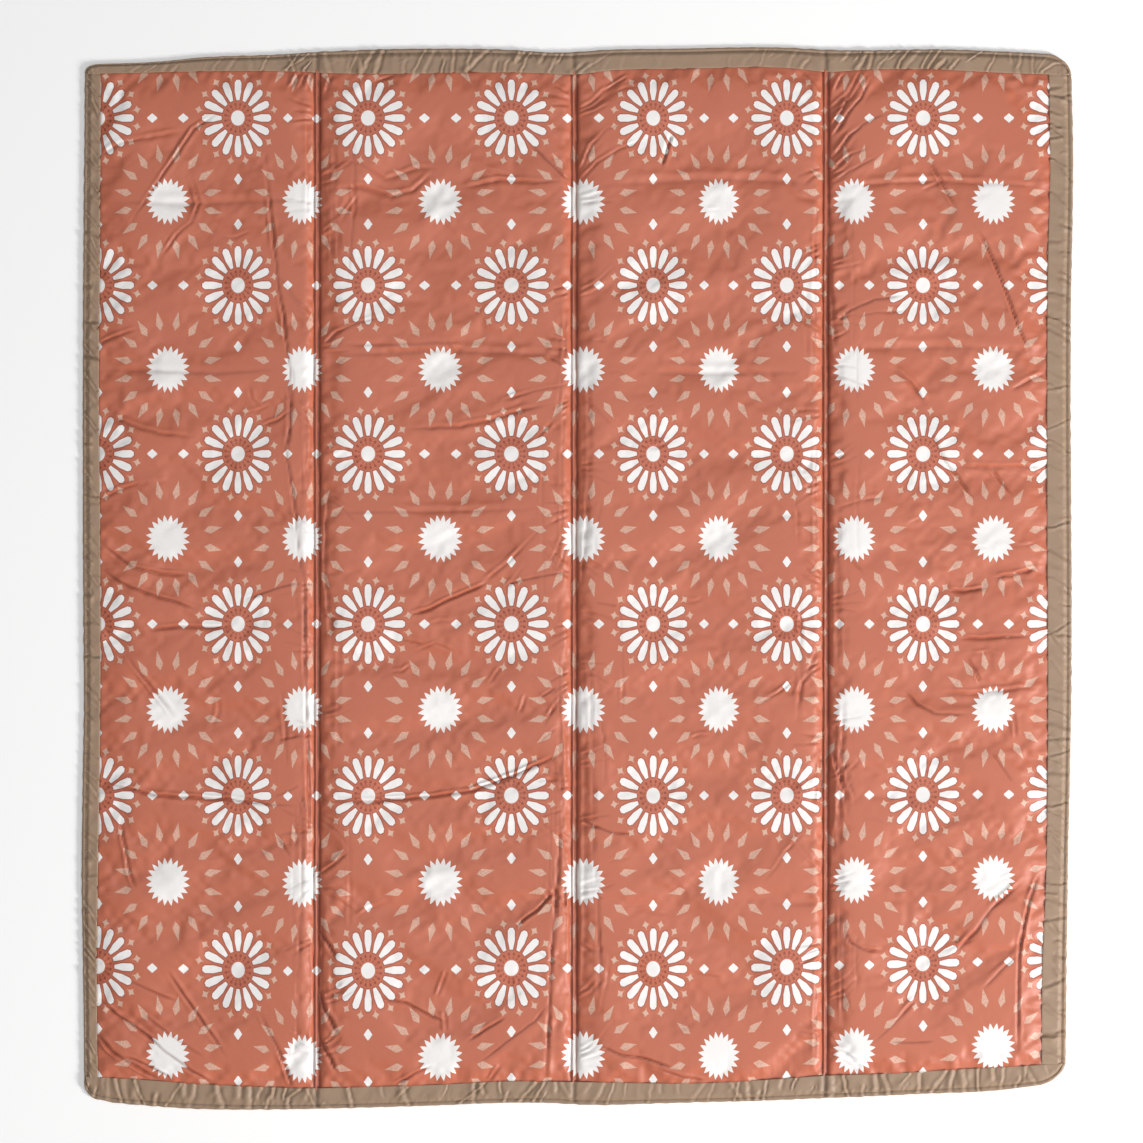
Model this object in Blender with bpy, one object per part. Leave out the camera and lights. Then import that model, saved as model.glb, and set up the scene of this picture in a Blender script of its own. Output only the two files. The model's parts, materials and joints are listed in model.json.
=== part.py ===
"""Folding padded ground blanket: four quilted panels joined by three sewn fold lines.

Metres, +Z up, laid flat with the printed face up. The origin is the centre of the underside.
+X runs across the panels and +Y along the fold lines. Each panel is a sandwich of backing,
wadding and face cloth, pinched flat at the fold lines and caught all round in a U of binding.
"""
import math

import bmesh
import bpy

# Overall size
LENGTH = 1.520
PANEL_WIDTHS = (0.340, 0.370, 0.362, 0.348)
WIDTH = sum(PANEL_WIDTHS)

# Cloth, wadding and clearances
CLOTH = 0.0008
GAP = 0.0003
SEAM_FILL = 0.0008
EDGE_FILL = 0.0020
CROWN_FILL = 0.0071

# Binding tape: how far each side reaches over the face, its cloth and its outer corner radii
BINDING_NEAR_FAR = 0.033
BINDING_LEFT = 0.025
BINDING_RIGHT = 0.032
BINDING_CLOTH = 0.0009
CORNER_RADIUS_LEFT = 0.020
CORNER_RADIUS_RIGHT = 0.032
CORNER_STEPS = 6
# Room between the layers and the bend of the tape, and how far the slot cut in a tape overruns it
BINDING_PLAY = 0.0005
SLOT_OVERRUN = 0.002

# Fold lines: an unpadded strip between two rows of stitching
STRIP_HALF_WIDTH = 0.0032
STRIP_SHOULDER = 0.0016
STRIP_RIDGE = 0.0040
FOLD_THREAD_OFFSET = 0.0048
SEAM_ALLOWANCE = 0.0025

# Thread
THREAD_WIDTH = 0.0008
THREAD_HEIGHT = 0.0004
BINDING_THREAD_INSET = 0.006
BINDING_THREAD_SETBACK = 0.006

# Heights of the hinge axes: folded panels lie on each other, and the folded halves on those
OUTER_AXIS_Z = 0.013
CENTRE_AXIS_Z = 0.027

# How the padding swells away from the fold lines and away from the binding
SWELL_FROM_FOLD = (0.0, SEAM_ALLOWANCE, 0.009, 0.022, 0.048)
SWELL_FROM_BINDING = (0.0, 0.010, 0.030, 0.060)

# Worked out from the above
HALF_LENGTH = LENGTH / 2
LEFT_EDGE = -WIDTH / 2
RIGHT_EDGE = WIDTH / 2
BINDING_LIFT = BINDING_CLOTH + GAP
BINDING_TOP = 2 * BINDING_LIFT + 2 * CLOTH + EDGE_FILL + 2 * GAP
PANEL_INSET = BINDING_CLOTH + BINDING_PLAY
BINDING_EDGE_Y = HALF_LENGTH - BINDING_NEAR_FAR

# Colours, linear RGB
RUST = (0.571, 0.184, 0.114)
TAUPE = (0.337, 0.226, 0.159)
WADDING_WHITE = (0.82, 0.81, 0.77)
BACKING_BROWN = (0.105, 0.075, 0.056)
THREAD_TAUPE = (0.42, 0.30, 0.22)
THREAD_RUST = (0.50, 0.15, 0.09)


def material(name, color, roughness):
    """A non-metallic surface, made once and then shared."""
    found = bpy.data.materials.get(name)
    if found:
        return found
    made = bpy.data.materials.new(name)
    made.use_nodes = True
    shader = made.node_tree.nodes["Principled BSDF"]
    shader.inputs["Base Color"].default_value = (*color, 1.0)
    shader.inputs["Roughness"].default_value = roughness
    shader.inputs["Metallic"].default_value = 0.0
    return made


def add_object(name, bm, surface, pivot):
    """Turn a world-space bmesh into an object that hangs from its panel's fold line."""
    bmesh.ops.recalc_face_normals(bm, faces=bm.faces)
    mesh = bpy.data.meshes.new(name)
    bm.to_mesh(mesh)
    bm.free()
    mesh.materials.append(surface)
    made = bpy.data.objects.new(name, mesh)
    bpy.context.collection.objects.link(made)
    made.parent = pivot
    made.matrix_parent_inverse = pivot.matrix_world.inverted()
    return made


def add_pivot(name, x, z):
    """An empty on a fold's axis, which runs along Y."""
    pivot = bpy.data.objects.new(name, None)
    pivot.location = (x, 0.0, z)
    bpy.context.collection.objects.link(pivot)
    bpy.context.view_layer.update()
    return pivot


class Panel:
    """One panel's extent and which of its sides are fold lines."""

    def __init__(self, number, low, high, pivot):
        self.number = number
        self.low = low
        self.high = high
        self.pivot = pivot
        self.fold_on_left = number > 1
        self.fold_on_right = number < len(PANEL_WIDTHS)

    def inner_extent(self):
        """The X extent of the quilted layers, inside the binding's walls or the fold strips."""
        fold_inset = STRIP_HALF_WIDTH + GAP
        low = self.low + (fold_inset if self.fold_on_left else PANEL_INSET)
        high = self.high - (fold_inset if self.fold_on_right else PANEL_INSET)
        return low, high

    def fold_distance(self, x):
        """Distance from x to the panel's nearest fold-line edge."""
        low, high = self.inner_extent()
        left = x - low if self.fold_on_left else math.inf
        right = high - x if self.fold_on_right else math.inf
        return max(0.0, min(left, right))

    def binding_distance(self, x, y):
        """Distance from a point to the nearest inner edge of the binding, 0 underneath it."""
        left = math.inf if self.fold_on_left else x - (LEFT_EDGE + BINDING_LEFT)
        right = math.inf if self.fold_on_right else (RIGHT_EDGE - BINDING_RIGHT) - x
        return max(0.0, min(left, right, BINDING_EDGE_Y - abs(y)))

    def stations_x(self, fold_steps, binding_steps):
        """Grid lines across the panel, close together where the padding is pinched."""
        low, high = self.inner_extent()
        if self.fold_on_left:
            left = [low + step for step in fold_steps]
        else:
            left = [low] + [LEFT_EDGE + BINDING_LEFT + step for step in binding_steps]
        if self.fold_on_right:
            right = [high - step for step in fold_steps]
        else:
            right = [high] + [RIGHT_EDGE - BINDING_RIGHT - step for step in binding_steps]
        return left + right[::-1]


def stations_y(binding_steps):
    """Grid lines along the panel, the same on all four."""
    far = [HALF_LENGTH - PANEL_INSET] + [BINDING_EDGE_Y - step for step in binding_steps]
    return [-y for y in far] + far[::-1]


def swell(distance, reach):
    """How far the padding has risen, 0 to 1, at a distance from a pinched edge."""
    return math.sin(math.pi / 2 * min(1.0, distance / reach))


def backing_height(panel, x, y):
    """Underside of the backing: on the ground, and lifted by the binding's lower leg."""
    clear = panel.binding_distance(x, y) / SWELL_FROM_BINDING[1]
    return BINDING_LIFT * (1.0 - min(1.0, clear))


def fill_thickness(panel, x, y):
    """Thickness of the wadding."""
    from_fold = swell(max(0.0, panel.fold_distance(x) - SEAM_ALLOWANCE), SWELL_FROM_FOLD[-1])
    from_binding = swell(panel.binding_distance(x, y), SWELL_FROM_BINDING[-1])
    edge = (EDGE_FILL - SEAM_FILL) * from_fold
    crown = (CROWN_FILL - EDGE_FILL) * from_fold * from_binding
    return SEAM_FILL + edge + crown


def wadding_height(panel, x, y):
    """Underside of the wadding."""
    return backing_height(panel, x, y) + CLOTH + GAP


def face_height(panel, x, y):
    """Underside of the face cloth."""
    return wadding_height(panel, x, y) + fill_thickness(panel, x, y) + GAP


def inside_corner(x, y, inset):
    """Pull a point that lies past a rounded outer corner back onto the corner's arc."""
    radius = (CORNER_RADIUS_LEFT if x < 0 else CORNER_RADIUS_RIGHT) - inset
    reach_x = abs(x) - (RIGHT_EDGE - inset - radius)
    reach_y = abs(y) - (HALF_LENGTH - inset - radius)
    reach = math.hypot(reach_x, reach_y)
    if reach_x <= 0 or reach_y <= 0 or reach <= radius:
        return x, y
    shrink = 1.0 - radius / reach
    return x - math.copysign(reach_x * shrink, x), y - math.copysign(reach_y * shrink, y)


def layer(name, panel, xs, ys, lower, upper, surface):
    """A closed sheet between two height functions, on a grid of grid lines xs and ys."""
    bm = bmesh.new()
    rows = {}
    for side, height in enumerate((lower, upper)):
        for i, x in enumerate(xs):
            for j, y in enumerate(ys):
                place = inside_corner(x, y, PANEL_INSET)
                rows[side, i, j] = bm.verts.new((*place, height(panel, x, y)))
    for i in range(len(xs) - 1):
        for j in range(len(ys) - 1):
            for side in (0, 1):
                a, b = rows[side, i, j], rows[side, i + 1, j]
                c, d = rows[side, i + 1, j + 1], rows[side, i, j + 1]
                bm.faces.new((a, b, c))
                bm.faces.new((a, c, d))
    last_i = len(xs) - 1
    last_j = len(ys) - 1
    rim = [(i, 0) for i in range(last_i)] + [(last_i, j) for j in range(last_j)]
    rim += [(i, last_j) for i in range(last_i, 0, -1)] + [(0, j) for j in range(last_j, 0, -1)]
    for start, end in zip(rim, rim[1:] + rim[:1]):
        bm.faces.new((rows[0, *start], rows[0, *end], rows[1, *end], rows[1, *start]))
    return add_object(name, bm, surface, panel.pivot)


def prism(bm, outline, axis, low, high):
    """Extrude an outline of (u, v) points between two planes square to the axis."""
    place = {
        "x": lambda u, v, w: (w, u, v),
        "y": lambda u, v, w: (u, w, v),
        "z": lambda u, v, w: (u, v, w),
    }[axis]
    bottom = [bm.verts.new(place(u, v, low)) for u, v in outline]
    top = [bm.verts.new(place(u, v, high)) for u, v in outline]
    bm.faces.new(bottom[::-1])
    bm.faces.new(top)
    for i, start in enumerate(bottom):
        end = (i + 1) % len(bottom)
        bm.faces.new((start, bottom[end], top[end], top[i]))


def make_layers(panel):
    """Backing, wadding and face cloth of one panel."""
    coarse_x = panel.stations_x(SWELL_FROM_FOLD[:1], SWELL_FROM_BINDING[:2])
    coarse_y = stations_y(SWELL_FROM_BINDING[:2])
    fine_x = panel.stations_x(SWELL_FROM_FOLD, SWELL_FROM_BINDING)
    fine_y = stations_y(SWELL_FROM_BINDING)

    def raised(height, thickness):
        return lambda *place: height(*place) + thickness

    layer(f"backing_{panel.number}", panel, coarse_x, coarse_y,
          backing_height, raised(backing_height, CLOTH),
          material("coated_backing", BACKING_BROWN, 0.55))
    layer(f"wadding_{panel.number}", panel, fine_x, fine_y,
          wadding_height, lambda *place: wadding_height(*place) + fill_thickness(*place),
          material("wadding", WADDING_WHITE, 0.95))
    layer(f"face_{panel.number}", panel, fine_x, fine_y,
          face_height, raised(face_height, CLOTH),
          material("face_cloth", RUST, 0.5))


def make_fold_strip(name, x, pivot):
    """The unpadded strip of a fold line: a low ridge of face cloth sewn to the backing."""
    bm = bmesh.new()
    profile = (
        (-STRIP_HALF_WIDTH, 0.0),
        (STRIP_HALF_WIDTH, 0.0),
        (STRIP_HALF_WIDTH, STRIP_SHOULDER),
        (STRIP_HALF_WIDTH / 2, STRIP_RIDGE),
        (-STRIP_HALF_WIDTH / 2, STRIP_RIDGE),
        (-STRIP_HALF_WIDTH, STRIP_SHOULDER),
    )
    rings = []
    for y in stations_y(SWELL_FROM_BINDING[:2]):
        clear = (BINDING_EDGE_Y - abs(y)) / SWELL_FROM_BINDING[1]
        lift = BINDING_LIFT * (1.0 - max(0.0, min(1.0, clear)))
        rings.append([bm.verts.new((x + u, y, v + lift)) for u, v in profile])
    for near, far in zip(rings, rings[1:]):
        for i, corner in enumerate(near):
            after = (i + 1) % len(near)
            bm.faces.new((corner, near[after], far[after], far[i]))
    bm.faces.new(rings[0])
    bm.faces.new(rings[-1])
    return add_object(name, bm, material("face_cloth", RUST, 0.5), pivot)


def make_fold_thread(name, x, pivot):
    """A row of stitching beside a fold line, which climbs over the binding at both ends."""
    on_face = 3 * CLOTH + 3 * GAP
    on_binding = BINDING_TOP + GAP
    wall = BINDING_EDGE_Y - GAP
    foot = BINDING_EDGE_Y - SWELL_FROM_BINDING[1]
    end = HALF_LENGTH - BINDING_CLOTH
    underside = [(foot, on_face), (wall, on_face + BINDING_LIFT), (wall, on_binding), (end, on_binding)]
    inner = wall - THREAD_HEIGHT
    top = [(end, on_binding + THREAD_HEIGHT), (inner, on_binding + THREAD_HEIGHT),
           (inner, on_face + BINDING_LIFT + THREAD_HEIGHT), (foot, on_face + THREAD_HEIGHT)]
    outline = underside + top
    outline += [(-y, z) for y, z in reversed(top)] + [(-y, z) for y, z in reversed(underside)]
    bm = bmesh.new()
    prism(bm, outline, "x", x - THREAD_WIDTH / 2, x + THREAD_WIDTH / 2)
    return add_object(name, bm, material("rust_thread", THREAD_RUST, 0.6), pivot)


def corner_arc(corner_x, radius, inset):
    """Points of the far outer corner at corner_x, from the end side round to the far side."""
    side = math.copysign(1.0, corner_x)
    centre_x = corner_x - side * radius
    centre_y = HALF_LENGTH - radius
    reach = radius - inset
    turns = [math.pi / 2 * step / CORNER_STEPS for step in range(CORNER_STEPS + 1)]
    return [(centre_x + side * reach * math.cos(t), centre_y + reach * math.sin(t)) for t in turns]


def binding_outline(panel, inset, open_by):
    """The far binding's outline over one panel, inset from its walls and open inwards."""
    inner_y = BINDING_EDGE_Y - open_by
    left = panel.low + GAP / 2 - open_by
    right = panel.high - GAP / 2 + open_by
    outline = []
    if panel.fold_on_right:
        outline += [(right, inner_y), (right, HALF_LENGTH - inset)]
    else:
        outline += [(RIGHT_EDGE - inset, inner_y)] + corner_arc(RIGHT_EDGE, CORNER_RADIUS_RIGHT, inset)
    if panel.fold_on_left:
        outline += [(left, HALF_LENGTH - inset), (left, inner_y)]
    else:
        outline += corner_arc(LEFT_EDGE, CORNER_RADIUS_LEFT, inset)[::-1] + [(LEFT_EDGE + inset, inner_y)]
    return outline


def make_end_binding(panel, side_name, side):
    """Binding over the far (side 1) or near (side -1) end of one panel, cut as a U."""
    block = bmesh.new()
    outer = [(x, side * y) for x, y in binding_outline(panel, 0.0, 0.0)]
    prism(block, outer, "z", 0.0, BINDING_TOP)
    surface = material("binding_tape", TAUPE, 0.7)
    strip = add_object(f"binding_{side_name}_{panel.number}", block, surface, panel.pivot)

    slot = bmesh.new()
    inner = [(x, side * y) for x, y in binding_outline(panel, BINDING_CLOTH, SLOT_OVERRUN)]
    prism(slot, inner, "z", BINDING_CLOTH, BINDING_TOP - BINDING_CLOTH)
    cutter = add_object(f"slot_{side_name}_{panel.number}", slot, surface, panel.pivot)
    cutter.hide_render = True
    cutter.display_type = "WIRE"
    cut = strip.modifiers.new("slot", "BOOLEAN")
    cut.operation = "DIFFERENCE"
    cut.object = cutter
    return strip


def make_side_binding(name, edge_x, reach, pivot):
    """Binding along the left or right side, between the two end bindings."""
    side = math.copysign(1.0, edge_x)
    wall = edge_x - side * BINDING_CLOTH
    lip = edge_x - side * reach
    outline = (
        (edge_x, 0.0),
        (edge_x, BINDING_TOP),
        (lip, BINDING_TOP),
        (lip, BINDING_TOP - BINDING_CLOTH),
        (wall, BINDING_TOP - BINDING_CLOTH),
        (wall, BINDING_CLOTH),
        (lip, BINDING_CLOTH),
        (lip, 0.0),
    )
    bm = bmesh.new()
    prism(bm, outline, "y", GAP - BINDING_EDGE_Y, BINDING_EDGE_Y - GAP)
    return add_object(name, bm, material("binding_tape", TAUPE, 0.7), pivot)


def ribbon(name, path, pivot):
    """A flat row of thread on the binding, along a path of (x, y) points."""
    left = []
    right = []
    for i, (x, y) in enumerate(path):
        before = path[max(i - 1, 0)]
        after = path[min(i + 1, len(path) - 1)]
        run_x = after[0] - before[0]
        run_y = after[1] - before[1]
        reach = THREAD_WIDTH / 2 / math.hypot(run_x, run_y)
        left.append((x - run_y * reach, y + run_x * reach))
        right.append((x + run_y * reach, y - run_x * reach))
    low = BINDING_TOP + GAP
    bm = bmesh.new()
    prism(bm, left + right[::-1], "z", low, low + THREAD_HEIGHT)
    return add_object(name, bm, material("taupe_thread", THREAD_TAUPE, 0.6), pivot)


def make_end_thread(panel, side_name, side):
    """The stitching near the outer edge of an end binding, round its corner if it has one."""
    y = HALF_LENGTH - BINDING_THREAD_INSET
    stop_y = BINDING_EDGE_Y + GAP
    if panel.fold_on_left:
        path = [(panel.low + BINDING_THREAD_SETBACK, y)]
    else:
        arc = corner_arc(LEFT_EDGE, CORNER_RADIUS_LEFT, BINDING_THREAD_INSET)
        path = [(LEFT_EDGE + BINDING_THREAD_INSET, stop_y)] + arc
    if panel.fold_on_right:
        path += [(panel.high - BINDING_THREAD_SETBACK, y)]
    else:
        arc = corner_arc(RIGHT_EDGE, CORNER_RADIUS_RIGHT, BINDING_THREAD_INSET)[::-1]
        path += [point for point in arc if point[1] > stop_y]
        path += [(RIGHT_EDGE - BINDING_THREAD_INSET, stop_y)]
    return ribbon(f"stitching_{side_name}_{panel.number}", [(u, side * v) for u, v in path], panel.pivot)


def make_side_thread(name, edge_x, pivot):
    """The stitching near the outer edge of a side binding."""
    x = edge_x - math.copysign(BINDING_THREAD_INSET, edge_x)
    end = BINDING_EDGE_Y - 2 * GAP
    return ribbon(name, [(x, -end), (x, end)], pivot)


def main():
    for old in list(bpy.data.objects):
        bpy.data.objects.remove(old)

    # The outer folds turn just above the padding, and the centre fold above the doubled stack
    folds = []
    x = LEFT_EDGE
    for width in PANEL_WIDTHS[:-1]:
        x += width
        folds.append(x)
    left_fold, centre_fold, right_fold = folds

    ground = add_pivot("panel_2_frame", 0.0, 0.0)
    left_pivot = add_pivot("fold_left_axis", left_fold, OUTER_AXIS_Z)
    centre_pivot = add_pivot("fold_centre_axis", centre_fold, CENTRE_AXIS_Z)
    right_pivot = add_pivot("fold_right_axis", right_fold, OUTER_AXIS_Z)
    right_pivot.parent = centre_pivot
    right_pivot.matrix_parent_inverse = centre_pivot.matrix_world.inverted()
    bpy.context.view_layer.update()

    pivots = (left_pivot, ground, centre_pivot, right_pivot)
    edges = [LEFT_EDGE, *folds, RIGHT_EDGE]
    panels = [Panel(i + 1, edges[i], edges[i + 1], pivot) for i, pivot in enumerate(pivots)]

    for panel in panels:
        make_layers(panel)
        for side_name, side in (("far", 1), ("near", -1)):
            make_end_binding(panel, side_name, side)
            make_end_thread(panel, side_name, side)

    make_side_binding("binding_left", LEFT_EDGE, BINDING_LEFT, left_pivot)
    make_side_binding("binding_right", RIGHT_EDGE, BINDING_RIGHT, right_pivot)
    make_side_thread("stitching_left", LEFT_EDGE, left_pivot)
    make_side_thread("stitching_right", RIGHT_EDGE, right_pivot)

    names = ("left", "centre", "right")
    strip_pivots = (ground, ground, centre_pivot)
    for i, name in enumerate(names):
        make_fold_strip(f"fold_strip_{name}", folds[i], strip_pivots[i])
        for letter, offset, panel in (("a", -1, panels[i]), ("b", 1, panels[i + 1])):
            place = folds[i] + offset * FOLD_THREAD_OFFSET
            make_fold_thread(f"fold_stitching_{name}_{letter}", place, panel.pivot)


main()
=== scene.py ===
"""Looks of the padded folding blanket: every layer, seam and stitch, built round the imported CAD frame.

Frame: origin under the middle of the blanket, +X across the four panels, +Y along the folds, +Z up.
Lengths are metres. MM turns a length in millimetres into metres.
"""

import json
import math
from typing import NamedTuple

import bpy
import numpy as np
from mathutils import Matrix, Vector


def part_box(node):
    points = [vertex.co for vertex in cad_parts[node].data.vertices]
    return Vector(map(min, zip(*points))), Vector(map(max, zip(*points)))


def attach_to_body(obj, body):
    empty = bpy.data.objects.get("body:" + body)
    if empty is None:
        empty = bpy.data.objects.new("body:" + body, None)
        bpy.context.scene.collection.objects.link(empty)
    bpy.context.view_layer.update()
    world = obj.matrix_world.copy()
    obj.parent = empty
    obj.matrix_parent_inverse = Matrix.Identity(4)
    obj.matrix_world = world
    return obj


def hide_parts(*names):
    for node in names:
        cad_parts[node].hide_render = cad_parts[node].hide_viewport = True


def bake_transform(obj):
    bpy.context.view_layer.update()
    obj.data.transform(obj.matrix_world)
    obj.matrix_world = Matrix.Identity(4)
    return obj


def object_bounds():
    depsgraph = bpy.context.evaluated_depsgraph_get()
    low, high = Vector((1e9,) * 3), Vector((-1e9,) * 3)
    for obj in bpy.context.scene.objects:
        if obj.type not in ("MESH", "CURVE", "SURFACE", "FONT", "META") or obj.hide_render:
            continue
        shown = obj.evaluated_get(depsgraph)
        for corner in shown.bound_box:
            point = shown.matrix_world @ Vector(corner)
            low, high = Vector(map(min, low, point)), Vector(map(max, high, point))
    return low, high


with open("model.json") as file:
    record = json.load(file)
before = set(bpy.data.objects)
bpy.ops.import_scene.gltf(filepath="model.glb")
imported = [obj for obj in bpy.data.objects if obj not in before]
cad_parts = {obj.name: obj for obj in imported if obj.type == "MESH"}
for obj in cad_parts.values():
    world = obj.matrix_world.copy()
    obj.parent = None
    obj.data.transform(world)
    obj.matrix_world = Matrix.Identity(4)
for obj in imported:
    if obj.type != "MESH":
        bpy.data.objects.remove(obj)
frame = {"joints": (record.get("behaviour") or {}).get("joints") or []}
cad_low, cad_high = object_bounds()

MM = 0.001


# ---------------------------------------------------------------- places that come from the CAD frame

X_LEFT, X_RIGHT = cad_low.x, cad_high.x
Y_NEAR, Y_FAR = cad_low.y, cad_high.y
FOLD = {j["name"]: j["pos_m"][0] for j in frame["joints"]}
FOLDS = sorted(FOLD.values())
X_TAPE_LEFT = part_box("binding_left")[1].x
X_TAPE_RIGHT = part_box("binding_right")[0].x
Y_TAPE_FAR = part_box("binding_far_2")[0].y
Y_TAPE_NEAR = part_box("binding_near_2")[1].y
Z_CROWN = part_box("face_2")[1].z
Z_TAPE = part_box("binding_left")[1].z
Z_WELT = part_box("fold_strip_left")[1].z
# Chosen: how high the face cloth lies in its seams at the folds, and under the binding.
Z_SEAM = 3.0 * MM
Z_UNDER_TAPE = 5.4 * MM

# Each joint's two panels, right one first, and how far to each side of the fold the cloth bends.
JOINTS = {
    "left": ("panel_2", "panel_1", FOLD["fold_left"], 9 * MM),
    "centre": ("panel_3", "panel_2", FOLD["fold_centre"], 20 * MM),
    "right": ("panel_4", "panel_3", FOLD["fold_right"], 9 * MM),
}
# Each sheet spans one fold, and meets the next sheet in the middle of a panel.
CUT_LEFT = (FOLDS[0] + FOLDS[1]) / 2
CUT_RIGHT = (FOLDS[1] + FOLDS[2]) / 2
SPANS = {
    "left": (X_LEFT, CUT_LEFT),
    "centre": (CUT_LEFT, CUT_RIGHT),
    "right": (CUT_RIGHT, X_RIGHT),
}


def attach(piece, nodes, body=None):
    """Hides the CAD parts that a piece stands for.

    The piece's place is baked into its mesh, or it goes with one body when a body is given.
    """
    if body is None:
        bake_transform(piece)
    else:
        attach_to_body(piece, body)
    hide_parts(*nodes)


# ---------------------------------------------------------------- small tools


def ease(value, low, high):
    """0 below low, 1 above high, and a smooth step between."""
    t = np.clip((value - low) / (high - low), 0, 1)
    return t * t * (3 - 2 * t)


def bell(offset, half_width):
    """1 at no offset, and falling away smoothly to both sides."""
    return np.exp(-((offset / half_width) ** 2))


def swell(distance, reach):
    """How far padding has risen at a distance from the seam that holds it down."""
    return np.sin(math.pi / 2 * np.clip(distance / reach, 0, 1))


def flowing(value, knots):
    """A smooth curve through (position, height) knots."""
    px, py = np.array(knots, float).T
    slope = np.gradient(py, px)
    value = np.clip(value, px[0], px[-1])
    i = np.clip(np.searchsorted(px, value) - 1, 0, len(px) - 2)
    h = px[i + 1] - px[i]
    t = (value - px[i]) / h
    a = (1 + 2 * t) * (1 - t) ** 2 * py[i]
    b = t * (1 - t) ** 2 * h * slope[i]
    c = t * t * (3 - 2 * t) * py[i + 1]
    d = t * t * (t - 1) * h * slope[i + 1]
    return a + b + c + d


# How many waves wave_noise adds up in each octave.
WAVES = 5


def wave_noise(x, y, wavelength_x, wavelength_y, seed, octaves=3):
    """Smooth noise from -1 to 1 over the plane, as a sum of random waves of about those lengths."""
    dice = np.random.default_rng(seed)
    total = np.zeros(np.broadcast(x, y).shape)
    for octave in range(octaves):
        for _ in range(WAVES):
            angle = dice.uniform(0, math.tau)
            phase = dice.uniform(0, math.tau)
            kx = math.cos(angle) * 2**octave / wavelength_x
            ky = math.sin(angle) * 2**octave / wavelength_y
            total += np.sin(math.tau * (kx * x + ky * y) + phase) / 1.8**octave
    return total / WAVES


def line_noise(y, wavelength, seed):
    """Smooth noise from -1 to 1 that changes only along y."""
    return wave_noise(y * 0, y, 1, wavelength, seed)


def stations(marks, step):
    """Grid lines through every mark, spaced about step apart between them."""
    out = [marks[0]]
    for a, b in zip(marks, marks[1:]):
        count = max(1, round((b - a) / step))
        out.extend(a + (b - a) * (k + 1) / count for k in range(count))
    return np.array(out)


def distances(points):
    """How far each point of a line is from its first one, along the line."""
    return np.r_[0, np.cumsum(np.linalg.norm(np.diff(points, axis=0), axis=1))]


def fold_distance(x):
    """How far a place is from the nearest fold."""
    return np.min([abs(x - f) for f in FOLDS], axis=0)


def tape_distance(x, y):
    """How far inside the binding's inner edge a point is; 0 under the binding."""
    across = np.minimum(x - X_TAPE_LEFT, X_TAPE_RIGHT - x)
    along = np.minimum(y - Y_TAPE_NEAR, Y_TAPE_FAR - y)
    return np.clip(np.minimum(across, along), 0, None)


# ---------------------------------------------------------------- how the blanket lies on the floor

# How far each side lies outside (+) or inside (-) the straight one, in mm, from place to place along it
# in metres: at its outer edge, and at the seam along the binding's inner edge.
EDGE_SHIFT = {
    "far": [(-0.71, -21), (-0.60, -17), (-0.54, -11), (-0.43, -7), (-0.37, -3), (-0.30, 0), (-0.10, 0),
            (-0.02, -4), (0.05, 0), (0.15, 1.6), (0.30, 3), (0.36, 0), (0.55, 0), (0.66, -5), (0.71, -8)],
    "near": [(-0.71, -14), (-0.67, -5), (-0.60, 2), (-0.32, 4), (-0.22, 1), (-0.05, -3.5), (0.035, 0),
             (0.10, -2), (0.27, -6.5), (0.36, -10), (0.50, -16), (0.61, -21), (0.71, -33)],
    "left": [(-0.76, -2), (-0.57, 0), (-0.45, 2), (-0.32, 1), (-0.2, -1), (0, 0), (0.4, 0), (0.76, -3)],
    "right": [(-0.76, -5), (-0.55, -3), (-0.40, -1), (-0.2, 3), (0.4, 3), (0.6, 6), (0.76, 3)],
}
SEAM_SHIFT = {
    "far": [(-0.71, -2), (-0.40, 1), (-0.35, -1), (-0.05, -1), (0, -3), (0.05, 3), (0.15, 5), (0.31, 6),
            (0.36, 1), (0.42, 4), (0.52, 4), (0.60, 0), (0.71, -4)],
    "near": [(-0.71, -9), (-0.65, -6), (-0.55, 1), (-0.45, 6), (-0.40, 8), (-0.30, 6), (-0.20, 3),
             (-0.10, -2), (0, -1), (0.20, 0), (0.27, -4), (0.36, -10), (0.45, -13), (0.55, -19),
             (0.65, -24), (0.71, -28)],
    "left": [(-0.76, 3), (-0.58, 5), (-0.40, 3), (-0.2, 0), (0.05, 0), (0.25, 2), (0.5, 0), (0.76, -1)],
    "right": [(-0.76, -8), (-0.58, -7), (-0.45, -2), (-0.2, 1), (0.1, 0), (0.45, 1), (0.6, 4), (0.76, 2)],
}
# Where each side's binding has its inner and its outer edge.
TAPE_EDGES = {
    "far": (Y_TAPE_FAR, Y_FAR),
    "near": (Y_TAPE_NEAR, Y_NEAR),
    "left": (X_TAPE_LEFT, X_LEFT),
    "right": (X_TAPE_RIGHT, X_RIGHT),
}
FOLD_SHIFT = 3.4 * MM
FOLD_SHIFT_REACH = 16 * MM


def side_shift(side, across, along):
    """How far outwards a side's shift moves a point, in mm, before it fades towards the middle."""
    inner, outer = TAPE_EDGES[side]
    share = np.clip((across - inner) / (outer - inner), 0, 1)
    return flowing(along, SEAM_SHIFT[side]) * (1 - share) + flowing(along, EDGE_SHIFT[side]) * share


def lay(x, y):
    """Where a point of the straight blanket lies: its edges are loose, its folds a little to the left."""
    far, near = (ease(way * y, 0.15 * Y_FAR, Y_TAPE_FAR) ** 1.5 for way in (1, -1))
    right, left = (ease(way * x, 0.3 * X_RIGHT, X_TAPE_RIGHT) ** 1.5 for way in (1, -1))
    dy = side_shift("far", y, x) * far - side_shift("near", y, x) * near
    dx = side_shift("right", x, y) * right - side_shift("left", x, y) * left
    gathered = FOLD_SHIFT * bell(fold_distance(x), FOLD_SHIFT_REACH)
    return x + dx * MM - gathered, y + dy * MM


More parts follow.
